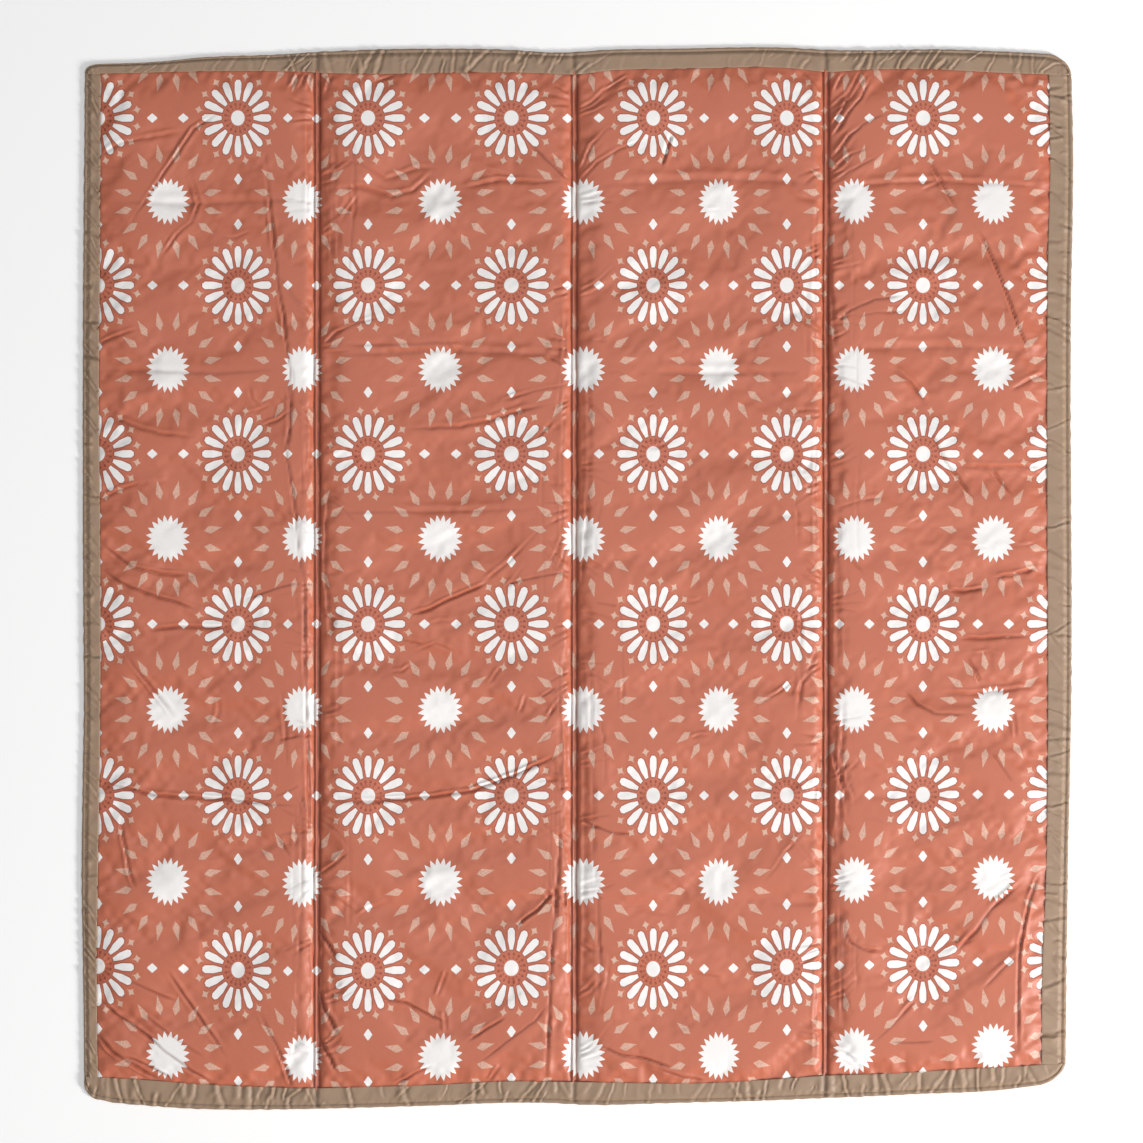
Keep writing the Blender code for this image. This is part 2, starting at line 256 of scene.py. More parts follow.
def laid(x, y, z):
    """Points of the straight blanket, moved to where they lie."""
    return np.stack([*lay(x, y), z], -1)


# ---------------------------------------------------------------- cloth simulation of the puckers

SIM_STEP = 9 * MM
SIM_FRAMES = 24
SIM_EXCESS = 0.008
SIM_RIPPLE = 0.2 * MM
PUCKER_SHARE = 0.80
DRIFT_SHARE = 0.5
CLOTH_SETTINGS = {
    "quality": 4,
    "mass": 0.3,
    "tension_stiffness": 15,
    "compression_stiffness": 15,
    "shear_stiffness": 5,
    "bending_stiffness": 0.5,
    "tension_damping": 5,
    "compression_damping": 5,
    "bending_damping": 0.5,
    "air_damping": 1,
    "vertex_group_mass": "seams",
    "shrink_min": -SIM_EXCESS,
    "shrink_max": -SIM_EXCESS,
}


def base_height(x, y):
    """The padded face at rest, without its puckers: low at the folds, level under the binding."""
    fd = fold_distance(x)
    # a steep quarter of the height beside the fold, and the rest in a long swell
    wall = 0.24 * ease(fd, 2.8 * MM, 8 * MM) + 0.76 * swell(fd, 45 * MM)
    rise = (Z_UNDER_TAPE - Z_SEAM) * wall
    crown = (Z_CROWN - 0.6 * MM - Z_UNDER_TAPE) * wall * swell(tape_distance(x, y), 60 * MM)
    return Z_SEAM + rise + crown


def simulate_puckers(xs, ys):
    """Sews a face cloth that is slightly too big to the folds and the binding, and lets it buckle.

    Blender's Cloth runs on a coarse sheet, pinned along every seam, whose threads grow by SIM_EXCESS.
    Returns how far the cloth moved at each point of the fine grid xs by ys.
    """
    cx = stations([X_LEFT, *FOLDS, X_RIGHT], SIM_STEP)
    cy = stations([Y_NEAR, 0.0, Y_FAR], SIM_STEP)
    gx, gy = np.meshgrid(cx, cy, indexing="ij")
    free = (fold_distance(gx) > 4 * MM) & (tape_distance(gx, gy) > 0)
    flat = np.stack([gx, gy, base_height(gx, gy)], -1)
    start = flat.copy()
    start[..., 2] += np.random.default_rng(7).normal(0, SIM_RIPPLE, gx.shape) * free
    cloth = grid_piece("pucker_cloth", start)
    pins = cloth.vertex_groups.new(name="seams")
    pins.add(np.flatnonzero(~free.ravel()).tolist(), 1.0, "REPLACE")
    modifier = cloth.modifiers.new("Cloth", "CLOTH")
    for name, value in CLOTH_SETTINGS.items():
        setattr(modifier.settings, name, value)
    modifier.settings.effector_weights.gravity = 0
    modifier.collision_settings.use_collision = False
    modifier.collision_settings.use_self_collision = False
    modifier.point_cache.frame_start = 1
    modifier.point_cache.frame_end = SIM_FRAMES
    for step in range(1, SIM_FRAMES + 1):
        bpy.context.scene.frame_set(step)
    result = cloth.evaluated_get(bpy.context.evaluated_depsgraph_get())
    ended = np.empty(start.size, np.float32)
    result.data.vertices.foreach_get("co", ended)
    moved = ended.reshape(start.shape) - flat
    bpy.data.objects.remove(cloth)
    bpy.context.scene.frame_set(1)
    across, along = spline_weights(cx, xs), spline_weights(cy, ys)
    return np.stack([across @ moved[..., k] @ along.T for k in range(3)], -1)


def spline_weights(coarse, fine):
    """The matrix that reads a smooth curve through values at the coarse stations, at the fine ones."""
    i = np.clip(np.searchsorted(coarse, fine, side="right") - 1, 0, len(coarse) - 2)
    t = (fine - coarse[i]) / (coarse[i + 1] - coarse[i])
    out = np.zeros((len(fine), len(coarse)))
    weights = (
        -0.5 * t + t**2 - 0.5 * t**3,
        1 - 2.5 * t**2 + 1.5 * t**3,
        0.5 * t + 2 * t**2 - 1.5 * t**3,
        -0.5 * t**2 + 0.5 * t**3,
    )
    for offset, weight in enumerate(weights, -1):
        np.add.at(out, (np.arange(len(fine)), np.clip(i + offset, 0, len(coarse) - 1)), weight)
    return out


# ---------------------------------------------------------------- mesh tools


def grid_quads(rows, columns):
    """The numbers of the corners of every face in a grid of points, and the grid of those numbers."""
    index = np.arange(rows * columns).reshape(rows, columns)
    quads = np.stack([index[:-1, :-1], index[1:, :-1], index[1:, 1:], index[:-1, 1:]], -1)
    return quads.reshape(-1, 4), index


def grid_piece(name, points, material=None, uv=None, flip=False):
    """A piece whose mesh is a grid of points (rows, columns, 3). uv is {layer: (rows, columns, 2)}."""
    quads, _ = grid_quads(*points.shape[:2])
    return mesh_piece(name, points, quads[:, ::-1] if flip else quads, material, uv)


def mesh_piece(name, points, quads, material=None, uv=None):
    """A smooth-shaded piece from points and quads."""
    points = np.asarray(points, np.float32).reshape(-1, 3)
    mesh = bpy.data.meshes.new(name)
    mesh.vertices.add(len(points))
    mesh.vertices.foreach_set("co", points.ravel())
    mesh.loops.add(quads.size)
    mesh.loops.foreach_set("vertex_index", quads.astype(np.int32).ravel())
    mesh.polygons.add(len(quads))
    mesh.polygons.foreach_set("loop_start", np.arange(0, quads.size, 4, dtype=np.int32))
    mesh.polygons.foreach_set("use_smooth", np.ones(len(quads), bool))
    mesh.update(calc_edges=True)
    for layer, values in (uv or {}).items():
        flat = np.asarray(values, np.float32).reshape(-1, 2)
        mesh.uv_layers.new(name=layer)
        mesh.uv_layers[layer].data.foreach_set("uv", flat[quads.ravel()].ravel())
    mesh.validate()
    piece = bpy.data.objects.new(name, mesh)
    bpy.context.collection.objects.link(piece)
    if material is not None:
        mesh.materials.append(material)
    return piece


def grid_normals(points):
    """Unit normals of a grid of points, from its neighbours on both sides."""
    normal = np.cross(np.gradient(points, axis=0), np.gradient(points, axis=1))
    return normal / np.linalg.norm(normal, axis=-1, keepdims=True)


def keep_normals(piece, normals):
    """Gives a piece the normals of the whole surface that it was cut from, so no cut shows."""
    piece.data.normals_split_custom_set_from_vertices(normals.reshape(-1, 3).tolist())


def shade_attribute(piece, values):
    """Stores the painted shade of each point, from 0 to 1, for the material to read: how much darker it draws
    creases, grooves and seams.
    """
    attribute = piece.data.attributes.new("crease", "FLOAT", "POINT")
    attribute.data.foreach_set("value", np.asarray(values, np.float32).ravel())


def span_columns(xs, span):
    """The slice of grid lines that lie in a span."""
    inside = np.flatnonzero((xs > span[0] - 1e-6) & (xs < span[1] + 1e-6))
    return slice(inside[0], inside[-1] + 1)


# ---------------------------------------------------------------- materials


def arithmetic(operation, swapped=False):
    """An operator of Wire that does one operation."""

    def work(wire, other):
        return wire.recipe.math(operation, *((other, wire) if swapped else (wire, other)))

    return work


class Wire:
    """A number or vector flowing through a material's nodes, with ordinary arithmetic."""

    def __init__(self, recipe, socket):
        self.recipe = recipe
        self.socket = socket

    __add__ = __radd__ = arithmetic("ADD")
    __sub__ = arithmetic("SUBTRACT")
    __rsub__ = arithmetic("SUBTRACT", swapped=True)
    __mul__ = __rmul__ = arithmetic("MULTIPLY")
    __truediv__ = arithmetic("DIVIDE")


class Recipe:
    """Builds one procedural material."""

    def __init__(self, name):
        self.material = bpy.data.materials.new(name)
        self.material.use_nodes = True
        self.tree = self.material.node_tree
        self.tree.nodes.clear()

    def node(self, kind, inputs, output=0, **settings):
        """Adds a node with its settings and inputs, and gives the wire from one of its outputs."""
        made = self.tree.nodes.new("ShaderNode" + kind)
        for name, value in settings.items():
            setattr(made, name, value)
        for name, value in inputs.items():
            if isinstance(value, Wire):
                self.tree.links.new(value.socket, made.inputs[name])
            elif value is not None:
                made.inputs[name].default_value = value
        return Wire(self, made.outputs[output])

    def math(self, operation, *values):
        return self.node("Math", dict(enumerate(values)), operation=operation)

    def least(self, a, b):
        return self.math("MINIMUM", a, b)

    def most(self, a, b):
        return self.math("MAXIMUM", a, b)

    def size(self, a):
        return self.math("ABSOLUTE", a)

    def length(self, u, v):
        return self.math("SQRT", u * u + v * v)

    def step(self, value, low, high):
        """0 where value is below low, 1 above high, smooth between."""
        inputs = {"Value": value, "From Min": low, "From Max": high}
        return self.node("MapRange", inputs, "Result", interpolation_type="SMOOTHSTEP")

    def inside(self, depth, soft=0.35):
        """1 where depth, in mm inside a shape, is positive, with a soft edge."""
        return self.step(depth, -soft, soft)

    def uv(self, layer):
        return self.node("UVMap", {}, "UV", uv_map=layer)

    def place(self):
        """A point's own coordinates, in metres."""
        return self.node("TexCoord", {}, "Object")

    def attribute(self, name):
        return self.node("Attribute", {}, "Fac", attribute_name=name)

    def split(self, vector):
        x = self.node("SeparateXYZ", {0: vector})
        return x, Wire(self, x.socket.node.outputs[1])

    def join(self, x, y):
        return self.node("CombineXYZ", {0: x, 1: y})

    def noise(self, vector, scale, detail, roughness=0.5, distortion=0.0):
        inputs = {"Vector": vector, "Scale": scale, "Detail": detail}
        inputs.update({"Roughness": roughness, "Distortion": distortion})
        return self.node("TexNoise", inputs, "Fac")

    def mix(self, share, a, b):
        """From a to b as share goes from 0 to 1. Sockets 6 and 7 of the node take the two colours."""
        return self.node("Mix", {0: share, 6: a, 7: b}, 2, data_type="RGBA")

    def scaled(self, colour, share):
        """The colour with its brightness multiplied by share."""
        colour = colour if isinstance(colour, Wire) else colour[:3]
        return self.node("VectorMath", {0: colour, "Scale": share}, operation="SCALE")

    def bump(self, height, distance, strength=1.0, below=None):
        inputs = {"Strength": strength, "Distance": distance, "Height": height, "Normal": below}
        return self.node("Bump", inputs, "Normal")

    def weave(self, x, y, pitch):
        """A plain weave: 0 to 1, with threads over and under each other every pitch metres."""
        warp = self.math("SINE", x * (math.pi / pitch))
        weft = self.math("SINE", y * (math.pi / pitch))
        return warp * weft * 0.5 + 0.5

    def surface(self, colour, roughness, normal, sheen=0.0, specular=0.5, glow=0.0):
        """Ends the recipe with one shader, and gives the material."""
        inputs = {"Base Color": colour, "Roughness": roughness, "Normal": normal, "Sheen Weight": sheen}
        inputs.update({"Sheen Roughness": 0.4, "Specular IOR Level": specular, "Emission Strength": glow})
        shader = self.node("BsdfPrincipled", inputs)
        output = self.tree.nodes.new("ShaderNodeOutputMaterial")
        self.tree.links.new(shader.socket, output.inputs["Surface"])
        return self.material


RUST = (0.570, 0.157, 0.085, 1)
# painted shade on the rust, for creases and grooves
PAINTED_SHADE_RUST = (0.200, 0.040, 0.020, 1)
DEEP_RUST = (0.300, 0.058, 0.032, 1)
THREAD_RUST = (0.50, 0.15, 0.09, 1)
PRINT_WHITE = (0.975, 0.955, 0.94, 1)
# painted shade on the white print, for creases and grooves
PAINTED_SHADE_WHITE = (0.45, 0.40, 0.36, 1)
PRINT_TAN = (0.745, 0.49, 0.375, 1)
TAUPE = (0.362, 0.240, 0.156, 1)
THREAD_TAUPE = (0.17, 0.11, 0.075, 1)
BACKING_BROWN = (0.105, 0.075, 0.056, 1)
SCUFF_BROWN = (0.21, 0.165, 0.13, 1)
WADDING_WHITE = (0.86, 0.85, 0.81, 1)

# The print repeats on a lattice: a medallion at every even row and column, a sun at every odd one.
COLUMN_MM = 99.8
ROW_MM = 122.6
MOTIF_STRETCH = 1.105
TURN = math.tau / 16
# The print's parts, in mm: how far they are from the middle of their motif, and their half widths.
DISC = 10.1
PETAL_START, PETAL_END, PETAL_HALF = 23.8, 51.6, 4.9
PETAL_RIM = 1.5
INNER_DOT_AT, INNER_DOT_HALF = 13.6, 1.15
DOT_AT, DOT_HALF = 18.3, 1.6
STAR_AT, STAR_HALF = 57.4, 3.5
STEM_START, STEM_END, STEM_HALF = 50.5, 56.5, 0.75
SIDE_DIAMOND_AT, ABOVE_DIAMOND_AT, DIAMOND_HALF = 77.8, 80.8, 6.9
SUN_REACH, SUN_TEETH, TOOTH_DEPTH = 31.2, 20, 8.4
KITE_START, KITE_END, KITE_HALF = 52.0, 77.6, 4.9


def spoke(r, radius, angle, shift):
    """Offsets along and across the nearest of 16 spokes, the first at shift spokes."""
    turned = r.math("WRAP", angle + TURN * (0.5 - shift), TURN, 0.0) - TURN / 2
    return radius * r.math("COSINE", turned), r.size(radius * r.math("SINE", turned))


def medallion(r, radius, angle):
    """A disc, two rings of dots, sixteen petals and a ring of small stars: white, deep rust and tan."""
    along, across = spoke(r, radius, angle, 0.0)
    # a petal widens slowly outwards, and closes fast at its tip
    petal_shape = r.least(2.4 + (along - 24.4) * 0.22, 2.3 + (PETAL_END - along) * 0.70)
    petal_ends = r.least(along - PETAL_START, PETAL_END - along)
    petal_depth = r.least(r.least(petal_shape, PETAL_HALF) - across, petal_ends)
    rim = r.inside(petal_depth + PETAL_RIM) * r.step(radius, 20.0, 22.5)
    along, across = spoke(r, radius, angle, 0.5)
    off = along - DOT_AT
    dot = r.inside(DOT_HALF - r.math("SQRT", off * off / 2.0 + across * across))
    off = along - INNER_DOT_AT
    inner_dot = r.inside(INNER_DOT_HALF - r.math("SQRT", off * off / 1.6 + across * across))
    arm = r.math("POWER", across, 0.72) + r.math("POWER", r.size(along - STAR_AT), 0.72)
    star = r.inside(STAR_HALF - arm, 0.3)
    stem = r.inside(STEM_HALF - across) * r.inside(r.least(along - STEM_START, STEM_END - along))
    white = r.most(r.inside(DISC - radius), r.inside(petal_depth))
    deep = r.most(rim * 0.6, r.most(dot, inner_dot * 0.8) * 0.85)
    return white, deep, r.most(star * 0.95, stem * 0.45)


def diamonds(r, u, v, blur):
    """White diamonds beside and above each medallion."""
    side_u, side_v = r.size(r.size(u) - SIDE_DIAMOND_AT), r.size(v)
    side = r.most(side_u * 0.85 + side_v * 1.1, r.length(side_u, side_v))
    above_u, above_v = r.size(u), r.size(r.size(v) - ABOVE_DIAMOND_AT)
    above = r.most(above_u * 1.1 + above_v * 0.85, r.length(above_u, above_v))
    return r.inside(DIAMOND_HALF - r.least(side, above) + blur, 0.5)


def sun(r, radius, angle):
    """A spiked white disc, and the ring of tan kites round it."""
    tooth = r.math("WRAP", angle, math.tau / SUN_TEETH, 0.0) - math.tau / SUN_TEETH / 2
    spike = SUN_REACH - r.size(tooth) * (TOOTH_DEPTH * 2 * SUN_TEETH / math.tau)
    along, across = spoke(r, radius, angle, 0.5)
    kite_shape = r.least((along - KITE_START) * 0.66, (KITE_END - along) * 0.30)
    return r.inside(spike - radius), r.inside(r.least(kite_shape, KITE_HALF) - across, 0.5)


def printed_cloth():
    """Satin polyester with the printed medallions and suns, drawn by node arithmetic."""
    r = Recipe("printed_satin")
    column, row = r.split(r.uv("print"))
    cloth = r.uv("cloth")
    x, y = r.split(cloth)
    blur = r.noise(cloth, 900, 2) * 0.9 - 0.45

    def polar(shift):
        """Offsets from the nearest motif centre in mm, their length and their angle."""
        u = r.math("WRAP", column + shift, 1.0, -1.0) * COLUMN_MM
        v = r.math("WRAP", row + shift, 1.0, -1.0) * (ROW_MM / MOTIF_STRETCH)
        return u, v, r.length(u, v) + blur, r.math("ARCTAN2", v, u)

    u, v, radius, angle = polar(0.0)
    white, deep, tan = medallion(r, radius, angle)
    diamond = diamonds(r, u, v, blur)
    _, _, radius, angle = polar(1.0)
    disc, kite = sun(r, radius, angle)
    grain = r.step(r.noise(cloth, 420, 2, 0.6), 0.36, 0.58)
    tan = r.most(kite * (0.48 + 0.40 * grain), tan)
    white = r.most(white, r.most(diamond, disc))

    mottle = r.noise(cloth, 9, 4, 0.6)
    thread = r.noise(r.join(x * 0.35, y), 1300, 2, 0.5)
    colour = r.mix(deep, r.scaled(RUST, 0.93 + 0.10 * mottle + 0.06 * thread), DEEP_RUST)
    colour = r.mix(tan, colour, PRINT_TAN)
    colour = r.mix(white * (0.95 + 0.05 * thread), colour, PRINT_WHITE)
    # painted shade: the crease attribute darkens creases, fold grooves, the welts and the line along the
    # binding, to deep rust or to grey on the white print
    colour = r.mix(r.attribute("crease"), colour, r.mix(white * 0.6, PAINTED_SHADE_RUST, PAINTED_SHADE_WHITE))

    normal = r.bump(r.weave(x, y, 0.55 * MM), 0.03 * MM, 0.6)
    normal = r.bump(r.noise(cloth, 160, 3, 0.6, 0.6), 0.45 * MM, 0.5, normal)
    return r.surface(colour, 0.37 + 0.16 * mottle + 0.08 * white, normal, sheen=0.12, specular=0.48)


def woven_tape():
    """Taupe polyester tape: a tight weave, cloudy colour and a faint sheen."""
    r = Recipe("woven_tape")
    cloth = r.uv("cloth")
    x, y = r.split(cloth)
    cloud = r.noise(cloth, 28, 4, 0.6)
    thread = r.noise(r.join(x, y * 0.3), 1500, 2)
    colour = r.scaled(TAUPE, 0.80 + 0.30 * cloud + 0.10 * thread)
    # painted shade: the crease attribute darkens the seam's groove, the wrinkles and the folds
    colour = r.mix(r.attribute("crease"), colour, r.scaled(colour, 0.55))
    normal = r.bump(r.weave(x, y, 0.7 * MM), 0.05 * MM, 0.7)
    normal = r.bump(r.noise(cloth, 210, 3, 0.6, 0.5), 0.4 * MM, 0.5, normal)
    return r.surface(colour, 0.40 + 0.18 * cloud, normal, sheen=0.22, specular=0.5)


def coated_backing():
    """Brown coated oxford cloth: a coarse basket weave under a slightly glossy skin."""
    r = Recipe("coated_backing")
    cloth = r.uv("cloth")
    cloud = r.noise(cloth, 14, 5, 0.6)
    scuff = r.step(r.noise(cloth, 60, 4, 0.7, 1.5), 0.52, 0.75)
    colour = r.mix(scuff * 0.25, r.scaled(BACKING_BROWN, 0.85 + 0.30 * cloud), SCUFF_BROWN)
    # painted shade: the crease attribute darkens the rows of stitches
    colour = r.mix(r.attribute("crease"), colour, r.scaled(colour, 0.55))
    normal = r.bump(r.weave(*r.split(cloth), 1.1 * MM), 0.10 * MM, 0.8)
    normal = r.bump(r.noise(cloth, 120, 3, 0.6, 0.5), 0.6 * MM, 0.5, normal)
    return r.surface(colour, 0.42 + 0.25 * cloud, normal, sheen=0.05, specular=0.45)


def spun_thread(name, colour):
    """Sewing thread: fine twisted grooves and a slight change of shade from stitch to stitch."""
    r = Recipe(name)
    place = r.place()
    shade = r.noise(place, 240, 2)
    normal = r.bump(r.noise(place, 5200, 2), 0.08 * MM, 0.8)
    colour = r.scaled(colour, 0.75 + 0.5 * shade)
    return r.surface(colour, 0.55 + 0.2 * shade, normal, sheen=0.2, specular=0.35)


def white_wadding():
    """Polyester wadding: white, matt and fibrous."""
    r = Recipe("white_wadding")
    place = r.place()
    fibre = r.noise(place, 700, 5, 0.7, 2.0)
    tuft = r.noise(place, 60, 4, 0.6)
    colour = r.scaled(WADDING_WHITE, 0.82 + 0.2 * tuft)
    return r.surface(colour, 0.85 + 0.1 * fibre, r.bump(fibre, 0.5 * MM, 0.9), sheen=0.4, specular=0.2)


def pale_floor():
    """Matt white paper that glows a little, so that it stays pale in every shadow."""
    r = Recipe("pale_floor")
    cloud = r.noise(r.place(), 0.8, 2)
    colour = r.scaled((0.95, 0.95, 0.95), 0.98 + 0.03 * cloud)
    return r.surface(colour, 0.9, r.bump(cloud, 0.1 * MM), specular=0.1, glow=0.16)


PRINT = printed_cloth()
TAPE = woven_tape()
BACKING = coated_backing()
RUST_THREAD = spun_thread("rust_thread", THREAD_RUST)
TAPE_THREAD = spun_thread("taupe_thread", THREAD_TAUPE)
WADDING = white_wadding()


# Where each printed column lies, in metres: closer together where cloth is gathered into a fold.
COLUMNS = (-0.790, -0.688, -0.587, -0.486, -0.394, -0.299, -0.195, -0.093)
COLUMNS += (0.0105, 0.111, 0.205, 0.303, 0.400, 0.499, 0.600, 0.701, 0.800)


def print_uv(straight_y, points):
    """The print lattice's column and row at points of the laid blanket.

    Towards the drawn-up near edge the print has moved with part of the cloth.
    """
    x, y = points[..., 0], points[..., 1]
    y = np.where(straight_y < 0, 0.4 * y + 0.6 * straight_y, y)
    column = flowing(x, [(place, index - 1) for index, place in enumerate(COLUMNS)])
    count = np.arange(-1.0, 14.0)
    places = 0.6605 - 0.1196 * count - 0.00027 * count**2
    return np.stack([column, np.interp(-y, -places, count)], -1)
